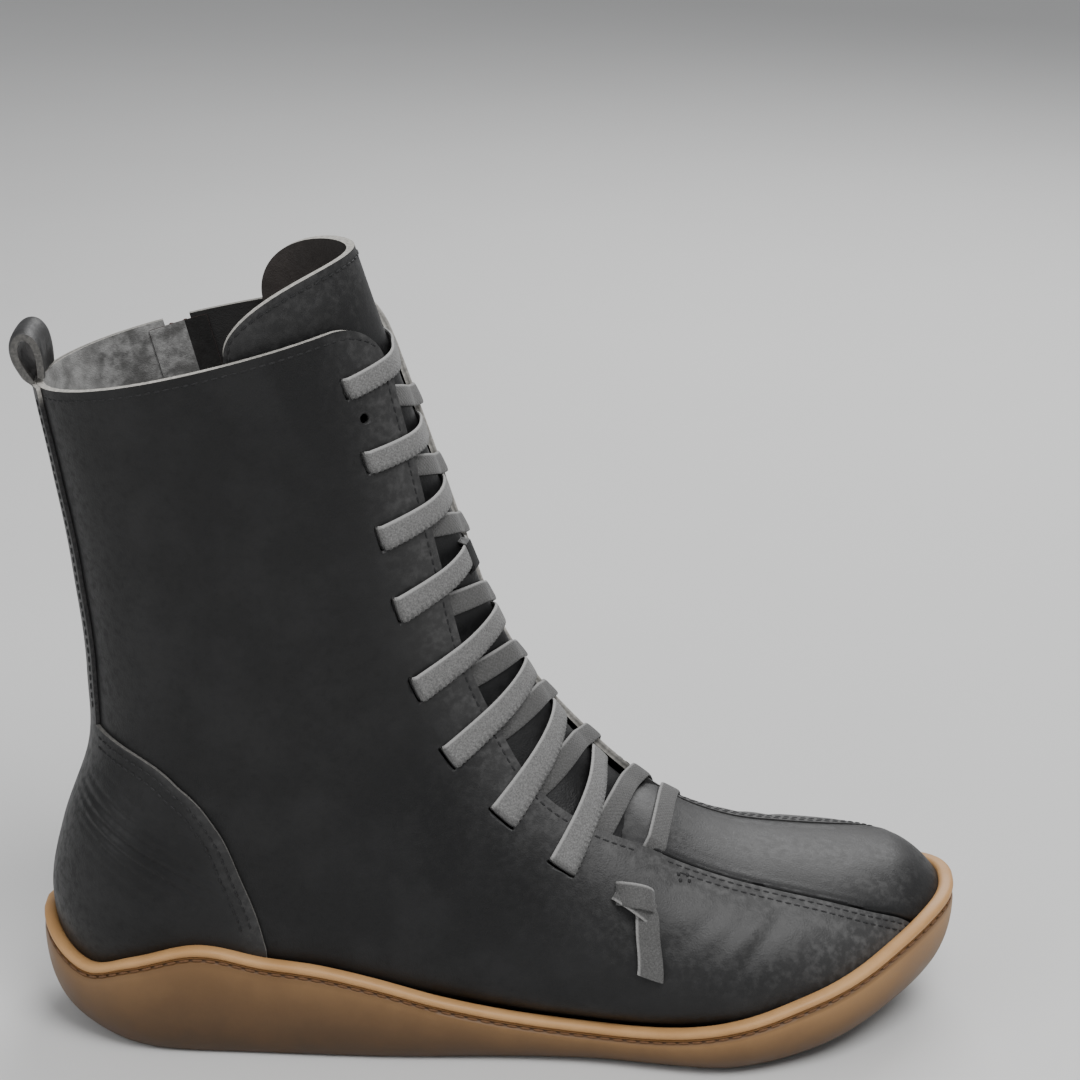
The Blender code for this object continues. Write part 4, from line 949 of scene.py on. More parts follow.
def tooth_finish():
    """Moulded zip coil, brown with a little gloss and dust between."""
    made = Finish("zip_coil_brown", Roughness=0.45)
    dust = made.group(BLOTCHES, Scale=300.0, Low=0.4, High=0.7)
    made.colour(made.blend(dust, (0.048, 0.022, 0.018), (0.085, 0.044, 0.036)))
    made.rough(made.ramp(dust, 0.38, 0.6))
    return made.material


def lacquer_finish():
    """Brown lacquered metal of the slider and the tab, rubbed paler in soft clouds."""
    made = Finish("brown_lacquer", Roughness=0.36, Metallic=0.85, Coat_Weight=0.25)
    wear = made.group(BLOTCHES, Scale=260.0, Low=0.42, High=0.70)
    made.colour(made.blend(wear, (0.20, 0.120, 0.100), (0.34, 0.225, 0.19)))
    made.rough(made.ramp(wear, 0.28, 0.46))
    made.bump((made.group(GRAIN, Scale=1800.0), 0.08, 0.08))
    return made.material


def floor_finish():
    """Plain pale studio floor."""
    made = Finish("studio_floor", Roughness=0.8)
    clouds = made.group(BLOTCHES, Scale=2.0, Low=0.2, High=0.8)
    made.colour(made.blend(clouds, (0.66, 0.66, 0.655), (0.69, 0.69, 0.685)))
    return made.material


SMOOTH = ((0.0105, 0.0100, 0.0098), (0.0200, 0.0190, 0.0185))
# Pale: the colour of burnished wear and of painted highlight.
LEATHER = leather_finish("charcoal_leather", (0.0045, 0.0045, 0.0048), (0.0115, 0.0115, 0.0120),
                         (0.110, 0.109, 0.108))
FACING = leather_finish("lining_facing", *SMOOTH, (0.05, 0.05, 0.05))
LEATHER_BACK = leather_finish("leather_back", (0.020, 0.0165, 0.015), (0.034, 0.027, 0.024),
                              (0.09, 0.08, 0.075))
RAW_EDGE = raw_edge_finish()
NAP = ((0.085, 0.084, 0.082), (0.225, 0.223, 0.218), (0.47, 0.467, 0.460))
SUEDE = suede_finish("grey_suede", *NAP)
LINING = lining_finish("lining", NAP, SMOOTH)
FOOTBED = suede_finish("grey_footbed", (0.07, 0.068, 0.065), (0.12, 0.117, 0.112), (0.18, 0.175, 0.168))
RUBBER = rubber_finish()
DARK_THREAD = thread_finish("dark_thread", (0.005, 0.005, 0.0055), (0.014, 0.014, 0.015))
OLIVE_THREAD = thread_finish("olive_thread", (0.10, 0.098, 0.078), (0.20, 0.196, 0.16))
GUM_THREAD = thread_finish("gum_thread", (0.13, 0.058, 0.021), (0.185, 0.086, 0.032))
LACE = lace_finish("knitted_lace", (0.115, 0.114, 0.112), (0.205, 0.203, 0.200), (0.33, 0.327, 0.320))
# Copy of the lace, darker with painted shade, for the inner bars that lie beneath the outer ones, and for the
# knots and tails.
LACE_SHADED = lace_finish("knitted_lace_shaded", (0.068, 0.067, 0.066), (0.108, 0.107, 0.105),
                         (0.25, 0.247, 0.242))
TAPE = tape_finish()
TEETH = tooth_finish()
LACQUER = lacquer_finish()


# Stage

def make_camera():
    """Camera at the photograph's angle: level, from the outer side and a little above."""
    rise = np.radians(CAMERA_RISE)
    data = bpy.data.cameras.new("camera")
    data.lens = CAMERA_LENS
    data.sensor_width = CAMERA_SENSOR
    camera = bpy.data.objects.new("camera", data)
    target = placed(CAMERA_TARGET)
    camera.location = target + CAMERA_DISTANCE * MILLIMETRE * np.array((0.0, -np.cos(rise), np.sin(rise)))
    camera.rotation_euler = (np.pi / 2 - rise, 0.0, 0.0)
    bpy.context.scene.collection.objects.link(camera)
    bpy.context.scene.camera = camera


def make_light(name, place, size, power):
    """Square soft light at a place, aimed at the boot."""
    data = bpy.data.lights.new(name, "AREA")
    data.size = size
    data.energy = power
    light = bpy.data.objects.new(name, data)
    light.location = place
    away = unit(np.asarray(place, float) - LIGHT_AIM)
    light.rotation_euler = (np.arccos(away[2]), 0.0, np.arctan2(away[0], -away[1]))
    bpy.context.scene.collection.objects.link(light)


def make_stage():
    """Pale floor, pale surroundings and three soft lights."""
    mesh = bpy.data.meshes.new("floor")
    corners = [(x * FLOOR_HALF, y * FLOOR_HALF, 0.0) for x, y in ((-1, -1), (1, -1), (1, 1), (-1, 1))]
    mesh.from_pydata(corners, [], [(0, 1, 2, 3)])
    mesh.materials.append(floor_finish())
    floor = bpy.data.objects.new("floor", mesh)
    bpy.context.scene.collection.objects.link(floor)
    world = bpy.data.worlds.new("studio")
    world.use_nodes = True
    sky = world.node_tree.nodes["Background"]
    sky.inputs["Color"].default_value = SKY_COLOUR
    sky.inputs["Strength"].default_value = SKY_STRENGTH
    bpy.context.scene.world = world
    for light in LIGHTS:
        make_light(*light)


# Upper

CREASES = np.array([
    # station and distance of both ends, depth and width of a soft trough (negative depth: a ridge)
    (52.0, -34.0, 70.0, -58.0, 0.5, 3.0),
    (60.0, -33.0, 80.0, -60.0, 0.45, 3.0),
    (70.0, -36.0, 90.0, -58.0, 0.4, 3.0),
    (58.0, -34.0, 76.0, -60.0, -0.35, 3.0),
    (40.0, -38.0, 52.0, -60.0, 0.25, 4.0),
    (176.0, -70.0, 168.0, -130.0, 0.4, 3.5),
    (186.0, -62.0, 182.0, -120.0, 0.35, 4.0),
    (170.0, -60.0, 160.0, -110.0, -0.4, 5.0),
    (205.0, -70.0, 206.0, -118.0, 0.3, 5.0),
    (226.0, -60.0, 229.0, -110.0, 0.2, 6.0),
    (52.0, 14.0, 70.0, 50.0, 0.5, 3.0),
    (62.0, 14.0, 82.0, 50.0, 0.45, 3.0),
    (72.0, 16.0, 94.0, 52.0, 0.4, 3.0),
    (178.0, 45.0, 170.0, 120.0, 0.6, 3.5),
    (190.0, 42.0, 184.0, 110.0, 0.5, 4.0),
    (202.0, 42.0, 199.0, 100.0, 0.4, 4.0),
    (184.0, 44.0, 176.0, 116.0, -0.4, 4.5),
    (164.0, 46.0, 152.0, 110.0, 0.5, 4.0),
])


def trough_lift(creases, p, q):
    """Sum of soft troughs: a bell curve of the distance to each crease's line, fading at its ends."""
    total = np.zeros(np.broadcast(p, q).shape)
    for p0, q0, p1, q1, depth, width in creases:
        dp, dq = p1 - p0, q1 - q0
        share = ((p - p0) * dp + (q - q0) * dq) / (dp**2 + dq**2)
        off = ((p - p0) * dq - (q - q0) * dp) / np.hypot(dp, dq)
        fade = smooth(share, -0.15, 0.25) * (1.0 - smooth(share, 0.7, 1.15))
        total = total - depth * np.exp(-(off / width) ** 2) * fade
    return total


def crease_lift(u, a):
    """Soft troughs and ridges of the upper."""
    return trough_lift(CREASES, u, a)


def corner_station(u, past_edge):
    """Station lowered near the lacing edge, so that the flap's top corner is round."""
    short = np.clip(CORNER_ROUND - past_edge, 0.0, CORNER_ROUND)
    drop = CORNER_ROUND - np.sqrt(CORNER_ROUND**2 - short**2)
    lowered = CORNER_FROM + (u - CORNER_FROM) * (1.0 - drop / (COLLAR - CORNER_FROM))
    return np.where(u > CORNER_FROM, lowered, u)


def edge_at(u, side):
    """Distance of the quarter's edge from the ridge, kept off the foot of the short sections at the toe."""
    return np.minimum(by_side(EDGES, u, side), 0.8 * reach_at(u, side))


QUARTER_STATIONS = np.concatenate([np.linspace(1.6, 12.0, 16)[:-1], np.linspace(12.0, 92.0, 66)[:-1],
                                   np.linspace(92.0, 160.0, 100)[:-1], np.linspace(160.0, COLLAR, 84)])
QUARTER_COLUMNS = 108
CREASE_FROM_EDGE = 8.0
BARE_EDGES = {-1: (252.0, 262.0), 1: (96.0, 110.0)}
FLAP_BURNISH, FLAP_FADE, FLAP_STATIONS = 0.55, 13.0, (88.0, 112.0)
# Painted highlight over the vamp: its strength, its fade from the quarter's edge and the stations where it
# ends.
VAMP_HIGHLIGHT, VAMP_HIGHLIGHT_FADE, VAMP_HIGHLIGHT_STATIONS = 0.80, 27.0, (78.0, 128.0)


def quarter_maps(u, a, past_edge, side):
    """Map of station and distance, and masks: bare cut edge, burnished wear at the flap's edge and a painted
    highlight over the vamp.
    """
    bare = smooth(u, *BARE_EDGES[side])
    flap = FLAP_BURNISH * np.exp(-(past_edge / FLAP_FADE) ** 2) * smooth(u, *FLAP_STATIONS)
    # Painted highlight over the vamp, added to the flap's burnished wear.
    vamp = VAMP_HIGHLIGHT * (1.0 - smooth(u, *VAMP_HIGHLIGHT_STATIONS)) * np.exp(-(past_edge / VAMP_HIGHLIGHT_FADE) ** 2)
    return np.stack([u, a], -1), np.stack([bare, flap + vamp], -1)


def make_quarter(name, side):
    """One side of the upper: a sheet from the seam or lacing edge to the sole and round to the back line."""
    u = QUARTER_STATIONS[:, None]
    share = np.linspace(0.0, 1.0, QUARTER_COLUMNS)[None, :]
    edge, reach = edge_at(u, side), reach_at(u, side)
    distance = edge + (reach - edge) * share
    past = distance - edge
    station = corner_station(np.broadcast_to(u, past.shape), past)
    a = side * distance
    top = skin(station, a, crease_lift(station, a) * smooth(past, 0.0, CREASE_FROM_EDGE))
    bottom = skin(station, a, -WALL)
    lay, mask = quarter_maps(station, a, past, side)
    if side < 0:
        top, bottom, lay, mask = [values[:, ::-1] for values in (top, bottom, lay, mask)]
    surface = Surface()
    add_slab(surface, top, bottom, lay, mask, core=1.0 if side < 0 else 0.35)
    return surface.piece(name, (LEATHER, LINING, RAW_EDGE), "leather", nodes=("upper",))


def slot_blocks(side):
    """Cutter for each lace slot, knot hole and spare hole of a side: a round outline run through the wall."""
    bars = OUTER_BARS if side < 0 else INNER_BARS
    places = [(u, side * a, SLOT_LENGTH, SLOT_WIDTH, SLOT_BEND) for u, a, _ in bars]
    places += [(u, way * a, KNOT_HOLE_SIZE, KNOT_HOLE_SIZE, 1.0) for way, u, a in KNOT_HOLES if way == side]
    if side == SPARE_HOLE[0]:
        places.append((SPARE_HOLE[1], side * SPARE_HOLE[2], SPARE_HOLE_SIZE, SPARE_HOLE_SIZE, 1.0))
    turn = np.linspace(0.0, 2.0 * np.pi, 25)[:-1]
    blocks = Surface()
    for u, a, length, width, bend in places:
        us = u + squared(np.sin(turn), bend) * length / 2
        ways = a + squared(np.cos(turn), bend) * width / 2
        add_tube(blocks, np.stack([skin(us, ways, -WALL - CUT_UNDER), skin(us, ways, CUT_OVER)]))
    return blocks


def zip_grid(shares, offsets, lift):
    """Points on the inner side along the zip's line (share 0 at its foot, 1 at the collar) and across it."""
    line = ZIP_TOP - ZIP_FOOT
    across = np.array((line[1], -line[0])) / np.linalg.norm(line)
    x = ZIP_FOOT[0] + line[0] * shares[:, None] + across[0] * offsets[None, :]
    z = ZIP_FOOT[1] + line[1] * shares[:, None] + across[1] * offsets[None, :]
    return side_point(x, z, 1.0, lift)


def cut(thing, blocks, name):
    """Cut blocks out of a piece, and keep the result as the piece's own mesh."""
    cutter = blocks.piece(name, (RAW_EDGE,), "leather")
    change = thing.modifiers.new("openings", "BOOLEAN")
    change.operation = "DIFFERENCE"
    change.object = cutter
    change.solver = "EXACT"
    change.material_mode = "TRANSFER"
    state = bpy.context.evaluated_depsgraph_get()
    mesh = bpy.data.meshes.new_from_object(thing.evaluated_get(state), preserve_all_data_layers=True,
                                           depsgraph=state)
    thing.modifiers.clear()
    old = thing.data
    thing.data = mesh
    bpy.data.meshes.remove(old)
    bpy.data.objects.remove(cutter, do_unlink=True)


def make_vamp_strip():
    """Middle strip of the vamp: lies a little lower than the quarters and dips under their edges."""
    u = np.concatenate([np.linspace(1.6, 12.0, 20)[:-1], np.linspace(12.0, STRIP_END, 80)])[:, None]
    w = np.linspace(-1.0, 1.0, 97)[None, :]
    outer, inner = [np.minimum(edge_at(u, side) + STRIP_UNDER, 0.95 * reach_at(u, side)) for side in (-1, 1)]
    a = np.where(w < 0.0, w * outer, w * inner)
    past = np.where(a < 0.0, -a - edge_at(u, -1), a - edge_at(u, 1))
    u = np.broadcast_to(u, a.shape)
    swell = STRIP_SWELL * np.exp(-((past + STRIP_SWELL_INSET) / STRIP_SWELL_WIDTH) ** 2)
    lift = -VAMP_DROP + swell - STRIP_TUCK * smooth(past, -1.2, 0.1)
    lift = lift - STRIP_DIP * smooth(u, STRIP_DIVE, STRIP_END)
    top = skin(u, a, lift + STRIP_CREASED * crease_lift(u, a))
    bottom = skin(u, a, lift - STRIP_THICK)
    # Paler middle of the strip: partly scuffed wear, partly painted highlight on its broad top.
    wear = 0.5 * (1.0 - smooth(past, -9.0, -0.5)) * smooth(u, 2.0, 30.0)
    mask = np.stack([np.zeros(a.shape), wear], -1)
    surface = Surface()
    add_slab(surface, top, bottom, np.stack([u, a], -1), mask)
    surface.piece("vamp_strip", (LEATHER, SUEDE, RAW_EDGE), "leather", nodes=("upper",))


# Sole and insole

def underside_height(x):
    """Height of the tread, flat from the heel to the ball and rising to the toe."""
    raised = (x < TREAD_FLAT[0]) | (x > TREAD_FLAT[1])
    return np.clip(through(UNDERSIDE[:, 0], UNDERSIDE[:, 1], x), 0.0, None) * raised


def cap_grid(loop, across):
    """Grid over a loop from the toe: rows from toe to heel, columns from the outer to the inner side."""
    half = len(loop) // 2
    outer = loop[:half + 1]
    inner = np.vstack([loop[:1], loop[:half - 1:-1]])
    share = np.linspace(0.0, 1.0, across)[None, :, None]
    return outer[:, None, :] * (1 - share) + inner[:, None, :] * share


def make_outsole():
    """Rubber cup: wall round the upper, round lip, stitch groove, bowl-shaped side and tread, as rings."""
    inside = contour(lip_height)
    outside = spread(inside, LIP_OUT)
    lip = outside[:, 2]
    rings, masks = [], []

    # A ring's level runs from the side's painted shade up to the pale lip; its dark is painted shade.
    def ring(loop, height, level, dark=0.0):
        rings.append(at_height(loop, height))
        masks.append(np.column_stack([np.broadcast_to(level, len(loop)), np.broadcast_to(dark, len(loop))]))

    # The cup's inner wall, with painted shade.
    ring(spread(inside, LIP_IN), lip - CUP_DEPTH, 0.6, 0.6)
    width = LIP_OUT - LIP_IN
    for turn in np.radians(np.linspace(175.0, -70.0, 16)):
        reach = LIP_IN + width / 2 * (1.0 + squared(np.cos(turn), 0.75))
        ring(spread(inside, reach), lip - LIP_BEAD / 2 + LIP_BEAD / 2 * np.sin(turn), 1.0)
    # Stitch groove, with painted shade.
    for share, depth, dark in GROOVE_RINGS:
        ring(spread(outside, -GROOVE_DEPTH * depth), lip - LIP_BEAD - GROOVE_WIDTH * share, 0.35, dark)
    top = lip - LIP_BEAD - GROOVE_WIDTH
    tread = spread(outside, -through(TREAD_INSET[:, 0], TREAD_INSET[:, 1], outside[:, 0]))
    tread = at_height(tread, underside_height(tread[:, 0]))
    for turn in np.radians(np.linspace(88.0, 2.0, 20)):
        share = np.sin(turn) ** (2.0 / SIDE_POWER)
        climb = 1.0 - np.cos(turn) ** (2.0 / SIDE_POWER)
        side = tread + (outside - tread) * share
        # Painted shade down the side as it curves under, and painted light towards the toe.
        pale = climb**1.4 * (SIDE_PAINTED_LIGHT + TOE_PAINTED_LIGHT * smooth(side[:, 0], 150.0, 250.0))
        ring(side, tread[:, 2] + (top - tread[:, 2]) * climb, pale)
    rings = np.array(rings)
    surface = Surface()
    surface.add(rings, grid_quads(*rings.shape[:2], closed=True), 0, None, np.array(masks))
    for loop, flip, height in ((rings[-1], False, underside_height), (rings[0], True, None)):
        grid = cap_grid(loop, 25)
        if height is not None:
            grid[..., 2] = height(grid[..., 0])
        else:
            grid[..., 2] = np.minimum(grid[..., 2], floor_height(grid[..., 0]) + CUP_FLOOR)
            grid[..., 2][:, (0, -1)] = np.stack([grid[:, 0, 2], grid[:, -1, 2]], -1)
        quads = grid_quads(*grid.shape[:2])
        surface.add(grid, quads[:, ::-1] if flip else quads)
    surface.piece("rubber_cup_sole", (RUBBER,), "gum_rubber", nodes=("outsole",))
    groove = at_height(spread(outside, -GROOVE_DEPTH * 0.55), lip - LIP_BEAD - GROOVE_WIDTH * 0.5)
    stitches = Surface()
    closed = np.vstack([groove, groove[:1]])
    normal = plan_normals(groove)
    add_stitches(stitches, closed, np.vstack([normal, normal[:1]]), SOLE_PITCH,
                 stitch_template(2.9, 0.8, 0.7))
    stitches.piece("sole_stitches", (GUM_THREAD,), "gum_rubber")


def make_insole():
    """Napped footbed on the sole's floor, cupped a little along its edge."""
    edge = spread(contour(lambda x, side: wall_foot(x)), -INSOLE_INSET)
    grid = cap_grid(edge, 41)
    across = np.abs(np.linspace(-1.0, 1.0, 41))[None, :]
    low = floor_height(grid[..., 0]) + GAP
    top, bottom = grid.copy(), grid.copy()
    top[..., 2] = low + INSOLE_THICK - 0.4 + 0.8 * across**4
    bottom[..., 2] = low
    surface = Surface()
    add_slab(surface, top, bottom, finishes=(0, 0, 0))
    surface.piece("footbed", (FOOTBED,), "footbed", nodes=("insole",))


# Tongue, heel overlays and pull loop

def make_leather(name, stands_for, top, bottom, lay, mask):
    """Leather sheet between two grids, with its back and its cut edge, in place of a solid."""
    surface = Surface()
    add_slab(surface, top, bottom, lay, mask)
    surface.piece(name, (LEATHER, LEATHER_BACK, RAW_EDGE), "leather", nodes=(stands_for,))


def tongue_place(u, share):
    """Station and distance on the tongue: its width at u, with round shoulders at the top."""
    outer, inner = by_side(TONGUE_EDGES, u, -1), by_side(TONGUE_EDGES, u, 1)
    a = np.where(share < 0.0, share * outer, share * inner)
    power = np.where(share < 0.0, *SHOULDER_POWERS)
    short = TONGUE_SHOULDER * (1.0 - np.sqrt(np.clip(1.0 - np.abs(share) ** power, 0.0, 1.0)))
    past = np.clip((u - TONGUE_ROUND_FROM) / (TONGUE_TOP - TONGUE_ROUND_FROM), 0.0, 1.0)
    return u - short * past, a


TONGUE_GRID = (150, 81)
# first and highest station of the tongue's stitch row, share of the half width
TONGUE_ROW = (225.0, TONGUE_TOP - 2.6, 0.955)


def make_tongue():
    """Wide tongue under the flaps, with a pale cut edge and a stitch row inside it."""
    u = np.linspace(TONGUE_FROM, TONGUE_TOP, TONGUE_GRID[0])[:, None]
    share = np.sin(np.linspace(-np.pi / 2, np.pi / 2, TONGUE_GRID[1]))[None, :]
    station, a = tongue_place(u, np.broadcast_to(share, TONGUE_GRID))
    top = skin(station, a, -TONGUE_DEPTH)
    bottom = skin(station, a, -TONGUE_DEPTH - TONGUE_THICK)
    bare = np.broadcast_to(smooth(u, 200.0, 230.0), a.shape)
    wear = 0.25 * smooth(u, 255.0, 285.0) + np.zeros(a.shape)
    lay, mask = np.stack([station, a], -1), np.stack([bare, wear], -1)
    make_leather("leather_tongue", "tongue", top, bottom, lay, mask)
    low, high, side = TONGUE_ROW
    rows = np.concatenate([np.linspace(low, high, 80), np.full(120, high), np.linspace(high, low, 80)])
    ways = np.concatenate([np.full(80, -side), np.linspace(-side, side, 120), np.full(80, side)])
    u_row, a_row = tongue_place(rows, ways)
    line = skin(u_row, a_row, -TONGUE_DEPTH + 0.1)
    stitches = Surface()
    add_stitches(stitches, line, skin_axes(u_row, a_row)[2], STITCH_PITCH, STITCH)
    stitches.piece("tongue_stitches", (DARK_THREAD,), "leather")


BACK_ROW = 9
BACK_TABLE_FROM = 300
# x and z that the counter's stitch rows start from
COUNTER_ROWS_FROM = (16.0, 36.0)
ON_LAYER = LAYER + LAYER_GAP + 0.05
BACKSTAY_GRID = (90, 49)


def heel_grid(z, w, front):
    """Grid round the heel at heights z, from the inner front edge over the back line to the outer one.

    At each height the section moves from the back line, where it closes, to the front edge x = front(z);
    its station follows the square of w, which spreads the points evenly round the back.
    """
    low, high = np.full(np.shape(z), STATIONS[BACK_ROW]), np.full(np.shape(z), STATIONS[-1])
    for _ in range(40):
        u_back = (low + high) / 2
        above = section(u_back, BACK_Z)[0] > z
        low, high = np.where(above, low, u_back), np.where(above, u_back, high)
    u_front = side_angle(front(z), z)[0]
    u = u_back + (u_front - u_back) * w**2
    ridge_z, low_z, *form = section(u, RIDGE_Z, BACK_Z, BELLY, LOW_POWER, TOP_POWER)
    up = np.clip((z - low_z) / (ridge_z - low_z), 0.0, 1.0)
    return last(u, angle_of(up, *form), np.where(w > 0.0, 1.0, -1.0))


def grid_normals(grid):
    """Outward normals of a grid, from its steps across columns and rows."""
    return unit(np.cross(np.gradient(grid, axis=1), np.gradient(grid, axis=0)))


def counter_front(z):
    """Front edge of the counter at a height."""
    return through(COUNTER_LINE[:, 0], COUNTER_LINE[:, 1], z)


def make_heel_counter():
    """Leather overlay round the heel, from inside the sole's lip up to its curved front edge."""
    w = np.linspace(1.0, -1.0, 181)
    foot = np.full(w.shape, 30.0)
    for _ in range(4):
        ring = heel_grid(foot, w, counter_front)
        foot = lip_height(ring[:, 0], np.where(ring[:, 1] < 0.0, -1.0, 1.0)) - COUNTER_SINK
    level = np.linspace(0.0, 1.0, 150)[:, None]
    rise = (level + np.sin(level * np.pi / 2)) / 2
    grid = heel_grid(foot[None, :] + (COUNTER_TOP - foot[None, :]) * rise, w[None, :], counter_front)
    out = grid_normals(grid)
    # Painted highlight along the counter's raised front edge, by the mask's second axis.
    edge_highlight = np.exp(-((1.0 - np.abs(w)[None, :]) / 0.06) ** 2) + np.zeros(grid.shape[:2])
    mask = np.stack([np.full(edge_highlight.shape, 0.25), 0.35 * edge_highlight], -1)
    top = grid + out * (LAYER + LAYER_GAP + heel_crease_lift(grid))[..., None]
    make_leather("leather_counter", "heel_counter", top, grid + out * LAYER_GAP, None, mask)
    stitches = Surface()
    z = COUNTER_LINE[0, 0] + (COUNTER_TOP - COUNTER_LINE[0, 0]) * np.sin(np.linspace(0.12, 1.45, 200))
    edge = np.column_stack([counter_front(z), z])
    slope = unit(np.gradient(edge, axis=0))
    inward = np.column_stack([-slope[:, 1], slope[:, 0]])
    for inset in COUNTER_ROWS:
        row = edge + inward * inset
        x, z = row[(row > COUNTER_ROWS_FROM).all(axis=1)].T
        for side in (-1.0, 1.0):
            normal = unit(side_point(x, z, side, 2.0) - side_point(x, z, side))
            add_stitches(stitches, side_point(x, z, side, ON_LAYER), normal, STITCH_PITCH, STITCH)
    stitches.piece("counter_stitches", (DARK_THREAD,), "leather")


HEEL_CREASES = np.array([
    # x and z of both ends on the heel's sides, depth and width of a soft trough (negative depth: a ridge)
    (13.0, 78.0, 52.0, 54.0, 0.48, 0.9), (12.5, 76.3, 51.0, 52.3, -0.25, 0.7),
    (12.0, 74.5, 50.0, 50.5, 0.55, 0.8), (12.0, 72.7, 48.5, 49.2, -0.25, 0.7),
    (12.0, 71.0, 47.0, 48.0, 0.50, 0.8), (12.0, 67.5, 43.0, 46.0, 0.40, 0.8),
    (15.0, 81.0, 53.0, 58.0, 0.35, 0.9), (20.0, 84.0, 52.0, 63.0, 0.22, 1.0),
    (12.0, 62.5, 36.0, 44.5, 0.28, 1.0),
])


def heel_crease_lift(points):
    """Sum of soft troughs on the heel, each a bell curve of the distance to its line in the side view."""
    return trough_lift(HEEL_CREASES, points[..., 0], points[..., 2])


def back_grid(u, s, lift):
    """Grid over the back line: stations u, and s the signed distance round the section from the back."""
    u, s = np.broadcast_arrays(u, s)
    outer, inner = [side * (reach_at(u, side) - np.abs(s)) for side in (-1, 1)]
    grid = bare_skin(u, np.where(s < 0.0, outer, inner))
    return grid + grid_normals(grid) * lift


def make_backstay():
    """Leather strip up the back seam, from the counter to the collar."""
    shaft = TABLE_STATIONS[BACK_TABLE_FROM:]
    low = np.interp(COUNTER_TOP - 1.5, section(shaft, BACK_Z)[0], shaft)
    u = np.linspace(low, COLLAR, BACKSTAY_GRID[0])[:, None]
    s = np.linspace(BACKSTAY_HALF, -BACKSTAY_HALF, BACKSTAY_GRID[1])[None, :]
    bare = np.broadcast_to(smooth(u, 262.0, 267.0), BACKSTAY_GRID)
    mask = np.stack([bare, np.full(BACKSTAY_GRID, 0.12)], -1)
    top, bottom = back_grid(u, s, LAYER + LAYER_GAP), back_grid(u, s, LAYER_GAP)
    make_leather("leather_backstay", "backstay", top, bottom, None, mask)
    stitches = Surface()
    rows = np.linspace(low + 2.0, COLLAR - 3.0, 120)
    for side in (-1.0, 1.0):
        spots = side * (BACKSTAY_HALF - 2.2) + np.array((0.6, -0.6))[None, :]
        grid = back_grid(rows[:, None], spots, ON_LAYER)
        add_stitches(stitches, grid.mean(axis=1), grid_normals(grid)[:, 0], BACKSTAY_PITCH, STITCH)
    stitches.piece("backstay_stitches", (DARK_THREAD,), "leather")


def make_pull_loop():
    """Leather strip folded over the back of the collar: the path's two faces, bowed across the width."""
    count = len(LOOP_PATH)
    fine = np.linspace(0.0, count - 1.0, 120)
    path = np.stack([through(np.arange(count, dtype=float), LOOP_PATH[:, k], fine) for k in range(3)], -1)
    slope = unit(np.gradient(path[:, :2], axis=0))
    w = np.linspace(-1.0, 1.0, 25)[None, :]
    bow = LOOP_BOW * path[:, 2:] * w**2
    thin = (1.0 - 0.25 * np.abs(w) ** 6) * (0.2 + 0.8 * smooth(fine, 0.0, 1.8))[:, None]
    faces = []
    for depth in (LOOP_THICK, 0.0):
        x = path[:, :1] - slope[:, 1:] * depth * thin + bow
        z = path[:, 1:2] + slope[:, :1] * depth * thin
        faces.append(np.stack([x, LOOP_HALF * w + 0.0 * x, z], -1))
    edge = 0.5 * np.exp(-((1.0 - np.abs(w)) / 0.12) ** 2) + 0.15 + 0.0 * faces[0][..., 0]
    mask = np.stack([np.full(edge.shape, 0.18), edge], -1)
    make_leather("leather_pull_loop", "pull_loop", *faces, None, mask)


# Lace

def lace_rings(path, scallop):
    """Flat ribbon along a path of station, distance and lift.

    Each ring is a flat rounded outline set across the path; its lower edge swells and narrows along the
    length, as the knit's loops do.
    """
    path = np.asarray(path, float)
    tangent = np.gradient(path[:, :2], axis=0)
    tangent /= np.linalg.norm(tangent, axis=1)[:, None] + 1e-9
    normal = np.column_stack([-tangent[:, 1], tangent[:, 0]])
    normal *= np.where(normal[:, :1] < 0.0, -1.0, 1.0)
    length = lengths(path)
    turn = np.linspace(0.0, 2.0 * np.pi, 21)[:-1]
    across = squared(np.cos(turn), 0.6) * LACE_WIDTH / 2
    out = LACE_THICK / 2 * (1.0 + squared(np.sin(turn), 0.8))
    lower = smooth(-across, 0.5, LACE_WIDTH / 2)
    wave = np.abs(np.sin(np.pi * length / SCALLOP_PITCH))
    offset = across[None, :] - scallop * wave[:, None] * lower[None, :]
    u = path[:, None, 0] + normal[:, None, 0] * offset
    a = path[:, None, 1] + normal[:, None, 1] * offset
    rings = skin(u, a, path[:, None, 2] + out[None, :])
    lay = np.stack(np.broadcast_arrays(length[:, None], across[None, :]), -1)
    bright = smooth(across, LACE_WIDTH * 0.36, LACE_WIDTH * 0.44)[None, :] + np.zeros(u.shape)
    dots = np.where(scallop > 0.0, smooth(wave[:, None], 0.5, 0.95) * lower[None, :] ** 2, 0.0)
    return rings, lay, np.stack([bright, dots], -1)


def add_lace(surface, path, scallop=0.0):
    """Add a ribbon to a surface."""
    rings, lay, mask = lace_rings(path, scallop)
    add_tube(surface, rings, 0, lay, mask)


